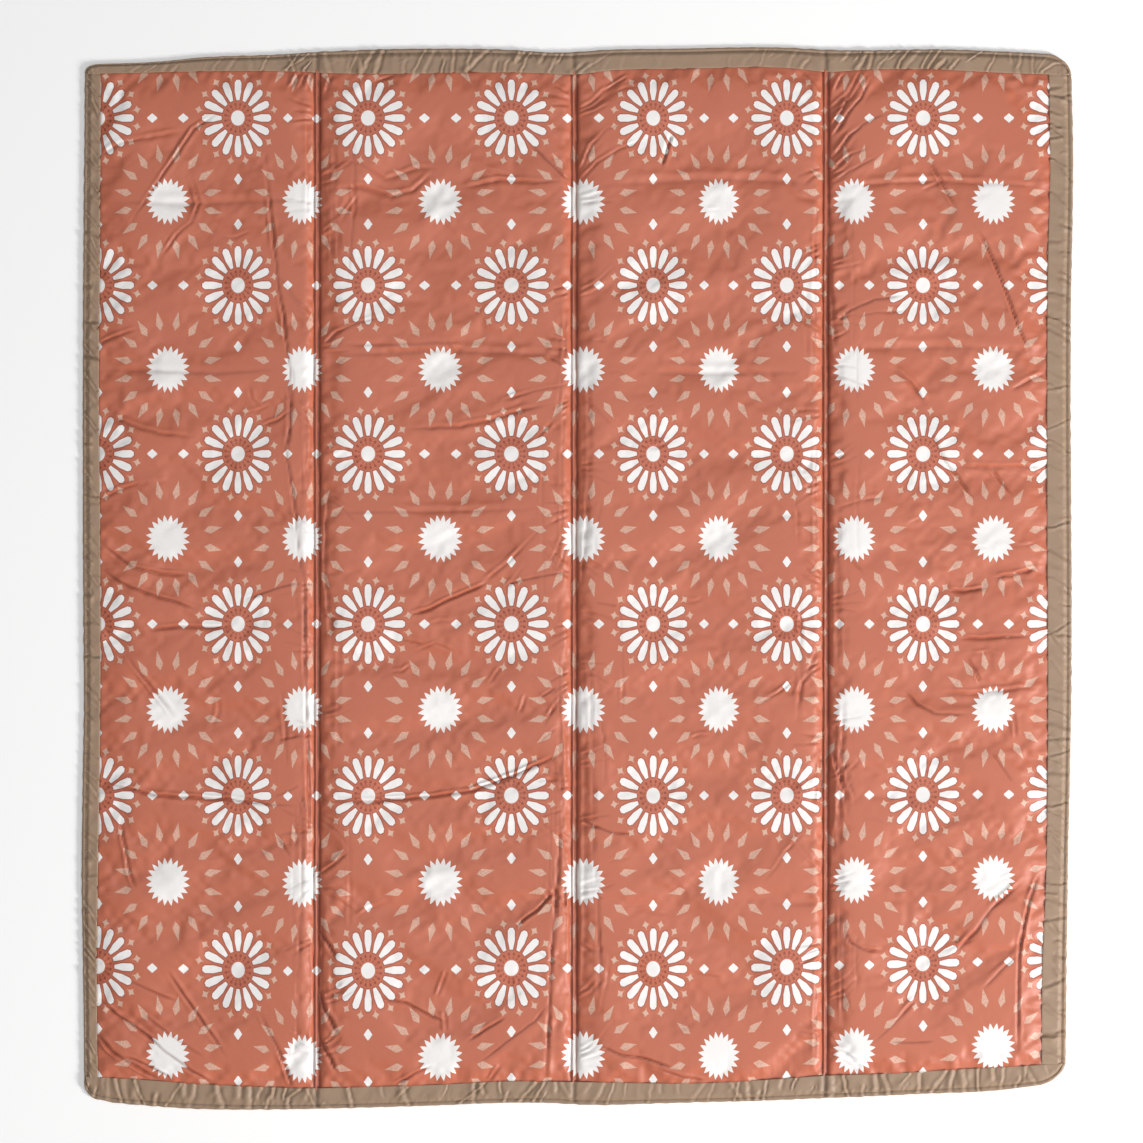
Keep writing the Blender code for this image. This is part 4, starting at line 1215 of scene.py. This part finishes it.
ENDS = ("far", "near")
EDGE_ROUND = 2.7 * MM
ROLL = 3.2 * MM
ROLL_HEIGHT = 4.9 * MM
STITCH_SETBACK = 6 * MM
UNDER_END = 2 * MM
# How the tape's inner edge turns down to the face, as steps past it and up, in mm.
LIP = ((0.6, -0.3), (0.0, 0.15), (-0.35, 0.55), (0.05, 0.98), (0.9, 1.12))
# The radii of each end's corners, left and right.
CORNERS = {"far": (23 * MM, 35 * MM), "near": (20 * MM, 38 * MM)}


class Strip(NamedTuple):
    """The binding of one side."""

    start: float  # added to places along it, so that no two sides have the same noise
    seed: int  # of its wrinkles
    weave_start: float  # added to places in its weave
    flat_width: float
    flip: bool  # whether its grid is turned over, to face outwards
    seam_share: float  # how deep its stitch groove is, as a share of the usual depth
    lean: float  # how far its wrinkles slant
    puckering: list  # how strongly it puckers, from place to place in metres


STRIPS = {
    "far": Strip(0, 171, 0, 72 * MM, False, 1, -0.5, [
        (-0.71, 0.5), (-0.45, 0.7), (-0.39, 1.3), (-0.3, 1.2), (-0.05, 1.0), (0.03, 0.45), (0.30, 0.5),
        (0.40, 1.2), (0.58, 1.2), (0.64, 0.7), (0.71, 1.4)]),
    "near": Strip(3.3, 182, 5.0, 72 * MM, True, 1, 0.15, [
        (-0.71, 1.1), (-0.60, 1.3), (-0.50, 0.9), (-0.41, 1.2), (-0.30, 0.8), (-0.10, 1.1), (0, 0.6),
        (0.20, 0.5), (0.28, 0.9), (0.40, 1.3), (0.62, 0.9), (0.71, 0.6)]),
    "left": Strip(6.8, 180, 8.0, 58 * MM, True, 0.15, -0.8, [
        (-0.76, 0.8), (0.05, 1.0), (0.3, 1.3), (0.76, 0.9)]),
    "right": Strip(8.8, 189, 10.0, 72 * MM, False, 1, 0.45, [
        (-0.76, 0.8), (0.4, 0.8), (0.64, 1.1), (0.76, 1.3)]),
}
SIDE_BODY = {"left": "panel_1", "right": "panel_4"}


class Line(NamedTuple):
    """A strip seen from above: for each point of its outer edge, what the tape there is like."""

    outer: np.ndarray
    normal: np.ndarray
    inner: np.ndarray
    along: np.ndarray
    strength: np.ndarray
    wrinkles: list
    seam_share: float


def corner(end, x_edge, towards, radius):
    """Points and normals up a strip's short end and round its corner; towards is +1 at the left end."""
    y_in, y_out = TAPE_EDGES[end]
    sign = math.copysign(1, y_out)
    depth = abs(y_out - y_in)
    made = []
    for s in stations([0, max(depth - radius, 0.1 * MM)], 2 * MM)[:-1]:
        made.append(((x_edge, y_in + sign * s), (-towards, 0)))
    start = math.asin(max(0.0, (radius - depth) / radius))
    for turn in np.linspace(start, math.pi / 2, max(8, round(radius / (1.6 * MM)))):
        c, s = math.cos(turn), math.sin(turn)
        point = (x_edge + towards * radius * (1 - c), y_out - sign * radius * (1 - s))
        made.append((point, (-towards * c, sign * s)))
    return made


def end_outline(end):
    """The far or near strip from corner to corner: outer points, normals and inner points."""
    y_in, y_out = TAPE_EDGES[end]
    radius_left, radius_right = CORNERS[end]
    left = corner(end, X_LEFT, 1, radius_left)
    right = corner(end, X_RIGHT, -1, radius_right)[::-1]
    marks = [fold_x + d * MM for fold_x in FOLDS for d in (-8, -4, -2, 0, 2, 4, 8)]
    marks += [left[-1][0][0], CUT_LEFT, CUT_RIGHT, right[0][0][0]]
    middle = [((x, y_out), (0, math.copysign(1, y_out))) for x in stations(sorted(marks), 1.5 * MM)[1:-1]]
    outer, normal = (np.array(column, float) for column in zip(*left, *middle, *right))
    # near a corner the inner points share out the strip's inner edge evenly
    travelled = distances(outer)
    left_over = travelled[-1] - travelled
    inner_x = outer[:, 0].copy()
    k = int(np.searchsorted(inner_x, X_LEFT + radius_left * 1.15))
    inner_x[: k + 1] = X_LEFT + (outer[k, 0] - X_LEFT) * travelled[: k + 1] / travelled[k]
    m = int(np.searchsorted(outer[: -len(right), 0], X_RIGHT - radius_right * 1.15))
    inner_x[m:] = X_RIGHT - (X_RIGHT - outer[m, 0]) * left_over[m:] / left_over[m]
    return outer, normal, np.c_[inner_x, np.full_like(inner_x, y_in)]


def tape_wrinkles(strip, start, end):
    """The wrinkles across one strip: each one's place, slant, depth, half width and reach."""
    dice = np.random.default_rng(strip.seed)
    made = []
    place = start + dice.uniform(5, 20) * MM
    while place < end:
        slant = strip.lean + dice.normal(0, 0.45)
        depth = dice.uniform(0.35, 1.25) * MM
        half = dice.uniform(1.3, 3.4) * MM
        first = dice.choice([-0.4, -0.4, 0.25])
        last = dice.choice([1.4, 1.4, 0.6])
        made.append((place, slant, depth, half, first, last))
        place += dice.uniform(6, 26) * MM
    return made


def strip_line(name, past=UNDER_END):
    """The line of one strip. On the left and right it goes on by past under the ends' strips."""
    strip = STRIPS[name]
    if name in ENDS:
        outer, normal, inner = end_outline(name)
        place, travelled, hidden = outer[:, 0], distances(outer), 0
    else:
        x_in, x_out = TAPE_EDGES[name]
        place = travelled = stations([Y_TAPE_NEAR - past, Y_TAPE_FAR + past], 1.5 * MM)
        outer = np.c_[np.full_like(place, x_out), place]
        normal = np.c_[np.full_like(place, math.copysign(1, x_out)), np.zeros_like(place)]
        inner = np.c_[np.full_like(place, x_in), place]
        # the wrinkles keep their places when the line stops short
        hidden = UNDER_END - past
    along = travelled + strip.start
    wrinkles = tape_wrinkles(strip, along[0] - hidden, along[-1] + hidden)
    return Line(outer, normal, inner, along, flowing(place, strip.puckering), wrinkles, strip.seam_share)


def wrinkle_depth(line, past_seam, span, setback):
    """How deep the wrinkles sink into the tape, less the ridges beside them."""
    depths = np.zeros(np.broadcast(setback, line.along).shape)
    bending = 2.2 * MM * wave_noise(line.along, setback, 34 * MM, 30 * MM, 54, 2)
    for place, slant, depth, half, first, last in line.wrinkles:
        off = line.along - place - slant * past_seam + bending
        reach = ease(span, first, first + 0.3) * ease(-span, -last, -last + 0.3)
        depths += reach * depth * 1.15 * (bell(off, half) - bell(off + 2.0 * half, 1.5 * half))
    return depths


def tape_height(line, setback, width, x):
    """The tape's top at a setback from its outer edge: its height, and its painted shade from 0 to 1."""
    outer = ROLL_HEIGHT * np.sqrt(np.clip(1 - ((ROLL - setback) / ROLL) ** 2, 0, 1))
    roll = np.where(setback < ROLL, outer, ROLL_HEIGHT)
    height = roll + (Z_TAPE - ROLL_HEIGHT) * ease(setback, 7 * MM, 12 * MM)
    # the groove of the seam, and small puckers outside it
    past_seam = setback - STITCH_SETBACK
    seam = line.seam_share * bell(past_seam, 1.3 * MM)
    small = wave_noise(line.along, setback, 9 * MM, 40 * MM, 51, 2)
    height = height - 1.3 * MM * seam + 0.45 * MM * small * bell(np.clip(setback - 1 * MM, 0, None), 3.6 * MM)
    # swellings between the seam and the inner edge, gathers beside the seam, and wrinkles across
    span = np.clip(past_seam / np.maximum(width - STITCH_SETBACK, 1e-6), 0, 1)
    slanted = line.along - 0.4 * setback
    swelling = wave_noise(slanted, setback, 38 * MM, 160 * MM, 52, 2) * np.sin(math.pi * span) ** 0.7
    gathers = np.clip(wave_noise(slanted, setback, 11 * MM, 60 * MM, 53, 2), -0.2, 1)
    gathers = gathers * bell(past_seam - 3.2 * MM, 3 * MM)
    cut = line.strength * wrinkle_depth(line, past_seam, span, setback)
    height = height + MM * line.strength * (0.8 * swelling + gathers) - 1.15 * cut
    # drawn in at each fold, and a little higher beside it
    gather = bell(fold_distance(x), 3.0 * MM)
    beside = bell(fold_distance(x) - 9 * MM, 7 * MM)
    height = height - 1.7 * MM * gather * ease(setback, 0.5 * MM, 5 * MM) + 0.35 * MM * beside
    height = np.where(setback > 9 * MM, np.maximum(height, Z_UNDER_TAPE - 0.9 * MM), height)
    # painted shade in the seam's groove, where the tape is drawn in at a fold, and in the wrinkles' valleys
    dark = np.maximum(0.62 * seam, 0.65 * gather)
    return height, np.clip(np.maximum(dark, 0.36 * np.clip(cut / (1.2 * MM), 0, 1)), 0, 1)


def across_tape(line):
    """The flat part of the tape: its points beside the rim, from there to the inner edge, and how far."""
    beside_rim = line.outer - line.normal * EDGE_ROUND
    across = line.inner - beside_rim
    return beside_rim, across, np.hypot(*across.T)


def tape_grid(line):
    """A strip of tape folded round the edge: from its inner edge over the top, round and under."""
    beside_rim, across, width = across_tape(line)
    full = width + EDGE_ROUND
    direction = across / np.maximum(width, 1e-6)[:, None]
    columns, shades = [], []

    def add(plan, z, shade):
        columns.append(np.c_[plan, z])
        shades.append(shade + np.zeros_like(width))

    # the lip at the inner edge, from the face up to the tape's top, with painted shade in its lower part
    inner_z = tape_height(line, full - 1.4 * MM, full, line.inner[:, 0])[0] - LIP[-1][1] * MM
    for out, up in LIP:
        plan = line.inner - direction * np.minimum(out * MM, width * 0.3)[:, None]
        add(plan, inner_z + up * MM, 0.35 * (up < 0.5))
    # the top, from the lip to the rim
    for share in np.r_[np.linspace(1, 0.72, 6)[1:], np.linspace(0.66, 0.0, 13)]:
        plan = beside_rim + across * (share * (1 - 1.6 * MM / np.maximum(width, 3 * MM)))[:, None]
        add(plan, *tape_height(line, EDGE_ROUND + width * share, full, plan[:, 0]))
    # round the rim, by its angle above the middle in degrees, with a faint painted shade
    rim_z, _ = tape_height(line, np.full_like(width, EDGE_ROUND), full, line.outer[:, 0])
    bulge = 1 + 0.22 * wave_noise(line.along, 0 * width, 24 * MM, 1, 56, 2)
    for turn in (70, 48, 25, 0, -25, -50, -75):
        c, s = math.cos(math.radians(turn)), math.sin(math.radians(turn))
        plan = beside_rim + line.normal * (EDGE_ROUND * c * bulge)[:, None]
        add(plan, rim_z / 2 * (1 + s) + 0.1 * MM * (1 - s), 0.1)
    # the underside, and its edge turned up, with painted shade along its seam and at that edge
    for share in (0.0, 0.12, 0.3, 0.55, 0.8, 1.0):
        sewn = bell(EDGE_ROUND + width * share - STITCH_SETBACK, 1.6 * MM)
        add(beside_rim + across * share, 0.08 * MM + 0.35 * MM * sewn, 0.5 * sewn)
    add(line.inner, np.full_like(width, 0.9 * MM), 0.4)
    return np.stack(columns, 1), np.stack(shades, 1)


def make_tape(name, strip, grid, shade, nodes, body=None):
    """Lays a strip, or one length of it, on the blanket."""
    points = laid(*np.moveaxis(grid, -1, 0))
    over = np.r_[0, np.cumsum(np.linalg.norm(np.diff(points, axis=1), axis=-1).mean(0))]
    # the weave runs along the strip by the place of a column near the rim
    run = grid[:, 20, 0] + grid[:, 20, 1] + strip.weave_start
    uv = {"cloth": np.stack(np.broadcast_arrays(run[:, None], over[None, :]), -1)}
    tape = grid_piece(name, points, TAPE, uv, flip=strip.flip)
    shade_attribute(tape, shade)
    attach(tape, nodes, body)


for end in ENDS:
    line = strip_line(end)
    grid, shade = tape_grid(line)
    for side, span in SPANS.items():
        cut = span_columns(line.outer[:, 0], span)
        nodes = [f"binding_{end}_{panel}" for panel in PANELS[side]]
        make_tape(f"tape_{end}_{side}", STRIPS[end], grid[cut], shade[cut], nodes)

for side, body in SIDE_BODY.items():
    grid, shade = tape_grid(strip_line(side))
    # both ends dip a little to go under the far and the near strip
    grid[..., 2] -= 0.5 * MM * (1 - ease(Y_TAPE_FAR - abs(grid[..., 1]), 0, 4 * MM))
    make_tape(f"tape_{side}", STRIPS[side], grid, shade, [f"binding_{side}"], body)


# ---------------------------------------------------------------- stitches


class Thread(NamedTuple):
    """What a row of stitches is sewn with."""

    material: bpy.types.Material
    slot: str
    pitch: float


FOLD_THREAD = Thread(RUST_THREAD, "fold_thread", 3 * MM)
BINDING_THREAD = Thread(TAPE_THREAD, "binding_thread", 4.2 * MM)
THREAD_HALF = 0.32 * MM
LEAST_TAPE = 12 * MM
# A stitch's rings of points: place from end to end, girth, and lift in mm.
STITCH_RINGS = ((-1, 0.35, -0.25), (-0.6, 0.9, 0.02), (0, 1, 0.12), (0.6, 0.9, 0.02), (1, 0.35, -0.25))
AROUND = 6


def stitch_quads():
    """The faces of one stitch: round from ring to ring, and two at each end."""
    quads = []
    for ring in range(len(STITCH_RINGS) - 1):
        for k in range(AROUND):
            a, b = ring * AROUND + k, ring * AROUND + (k + 1) % AROUND
            quads.append((a, b, b + AROUND, a + AROUND))
    last = AROUND * (len(STITCH_RINGS) - 1)
    quads += [(5, 4, 1, 0), (4, 3, 2, 1)]
    quads += [(last, last + 1, last + 4, last + 5), (last + 1, last + 2, last + 3, last + 4)]
    return np.array(quads)


def make_stitches(name, path, thread, nodes, body=None, up=1):
    """A row of single stitches along a path of points on the cloth, each sunk at both ends."""
    travelled = distances(path)
    pitch = thread.pitch
    count = int(travelled[-1] // pitch)
    places = (np.arange(count) + 0.5) * travelled[-1] / count
    centre, ahead, back = (
        np.stack([np.interp(places + off, travelled, path[:, k]) for k in range(3)], -1)
        for off in (0, 0.4 * pitch, -0.4 * pitch)
    )
    forward = (ahead - back) / np.linalg.norm(ahead - back, axis=1)[:, None]
    top = np.array([0, 0, up])
    aside = np.cross(forward, top)
    # a seed of its own for each kind of row
    dice = np.random.default_rng(len(name) * 17 + count)
    forward = forward + aside * dice.normal(0, 0.05, (count, 1))
    points = []
    for at, girth, lift in STITCH_RINGS:
        spot = centre + forward * (at * pitch * 0.41) + top * (lift * MM)
        for k in range(AROUND):
            c, s = math.cos(math.tau * k / AROUND), math.sin(math.tau * k / AROUND)
            points.append(spot + (aside * c + top * s * 0.8) * (girth * THREAD_HALF))
    points = np.stack(points, 1)
    # all faces point outwards, on top of the cloth and under it
    quads = stitch_quads()[:, :: -1 if up > 0 else 1]
    quads = quads + points.shape[1] * np.arange(count)[:, None, None]
    row = mesh_piece(name, points, quads.reshape(-1, 4), thread.material)
    attach(row, nodes, body)


for side in SPANS:
    for letter, offset in (("a", -ROW_OFFSET), ("b", ROW_OFFSET)):
        y = stations([Y_TAPE_NEAR + 1 * MM, Y_TAPE_FAR - 1 * MM], 4 * MM)
        x = np.full_like(y, JOINTS[side][2] + offset)
        over = laid(x, y, face_height(x, y) + 0.1 * MM)
        under = laid(x, y, backing_height(x, y)[0] - 0.05 * MM)
        nodes = [f"fold_stitching_{side}_{letter}"]
        make_stitches(f"fold_stitches_{side}_{letter}", over, FOLD_THREAD, nodes)
        make_stitches(f"fold_understitches_{side}_{letter}", under, FOLD_THREAD, [], up=-1)


def binding_row(line):
    """Points on top of the tape, along its seam."""
    beside_rim, across, width = across_tape(line)
    plan = beside_rim + across * ((STITCH_SETBACK - EDGE_ROUND) / np.maximum(width, 1 * MM))[:, None]
    setback = np.full_like(width, STITCH_SETBACK)
    z, _ = tape_height(line, setback, width + EDGE_ROUND, plan[:, 0])
    return laid(plan[:, 0], plan[:, 1], z + 0.1 * MM)


for end in ENDS:
    line = strip_line(end)
    row = binding_row(line)
    # no stitches where a corner leaves too little tape to sew
    wide = np.hypot(*(line.inner - line.outer).T) > LEAST_TAPE
    for side, span in SPANS.items():
        cut = span_columns(line.outer[:, 0], span)
        nodes = [f"stitching_{end}_{panel}" for panel in PANELS[side]]
        make_stitches(f"tape_stitches_{end}_{side}", row[cut][wide[cut]], BINDING_THREAD, nodes)

for side, body in SIDE_BODY.items():
    row = binding_row(strip_line(side, past=0))
    make_stitches(f"tape_stitches_{side}", row, BINDING_THREAD, [f"stitching_{side}"], body)


# ---------------------------------------------------------------- floor, light and camera

FLOOR_REACH = 60
FLOOR_DROP = 0.1 * MM
WORLD_LIGHT, WORLD_SEEN = 0.22, 0.37
VIEW_WIDTH = 1.647
VIEW_MIDDLE = (-0.0065, 0.0086)
LENS, SENSOR = 100, 36


def add_object(name, data, place):
    """A new object in the scene."""
    made = bpy.data.objects.new(name, data)
    made.location = place
    bpy.context.collection.objects.link(made)
    return made


floor_mesh = bpy.data.meshes.new("floor")
corners = [(FLOOR_REACH * x, FLOOR_REACH * y, 0) for x, y in ((-1, -1), (1, -1), (1, 1), (-1, 1))]
floor_mesh.from_pydata(corners, [], [(0, 1, 2, 3)])
floor_mesh.materials.append(pale_floor())
add_object("floor", floor_mesh, (0, 0, -FLOOR_DROP))


def soft_light(name, kind, place, size, power, colour):
    """A soft light that the camera doesn't see: a globe, or a square softbox that faces the blanket."""
    data = bpy.data.lights.new(name, kind)
    if kind == "AREA":
        data.size = size
    else:
        data.shadow_soft_size = size / 2
    data.energy = power
    data.color = colour
    light = add_object(name, data, place)
    light.rotation_euler = (-Vector(place)).to_track_quat("-Z", "Y").to_euler()
    light.visible_camera = False
    return light


# The low key light shows every crease. It would only glare in the satin cloth when seen from the far
# side, so a second, higher light gives the cloth its glints.
key = soft_light("key", "POINT", (5.0, -2.9, 2.6), 1.8, 1730, (1.0, 0.985, 0.965))
key.visible_glossy = False
glint = soft_light("glint", "POINT", (4.1, -2.4, 4.2), 0.8, 1250, (1.0, 0.99, 0.98))
glint.visible_diffuse = False
soft_light("top", "AREA", (0.4, 0.2, 5.4), 4.5, 94, (0.98, 0.99, 1.0))

# The camera sees a paler world than the one that lights the blanket, as light as the far floor.
world = bpy.data.worlds.new("studio")
bpy.context.scene.world = world
world.use_nodes = True
background = world.node_tree.nodes["Background"]
background.inputs["Color"].default_value = (1, 1, 1, 1)
seen = world.node_tree.nodes.new("ShaderNodeLightPath")
brightness = world.node_tree.nodes.new("ShaderNodeMapRange")
brightness.inputs["To Min"].default_value = WORLD_LIGHT
brightness.inputs["To Max"].default_value = WORLD_SEEN
world.node_tree.links.new(seen.outputs["Is Camera Ray"], brightness.inputs["Value"])
world.node_tree.links.new(brightness.outputs["Result"], background.inputs["Strength"])

# Straight above the blanket, a little off its middle, as in the photo.
camera_data = bpy.data.cameras.new("camera")
camera_data.lens = LENS
camera_data.sensor_width = SENSOR
camera_data.clip_end = 50
camera = add_object("camera", camera_data, (*VIEW_MIDDLE, VIEW_WIDTH * LENS / SENSOR))
bpy.context.scene.camera = camera
bpy.context.scene.view_settings.view_transform = "Standard"
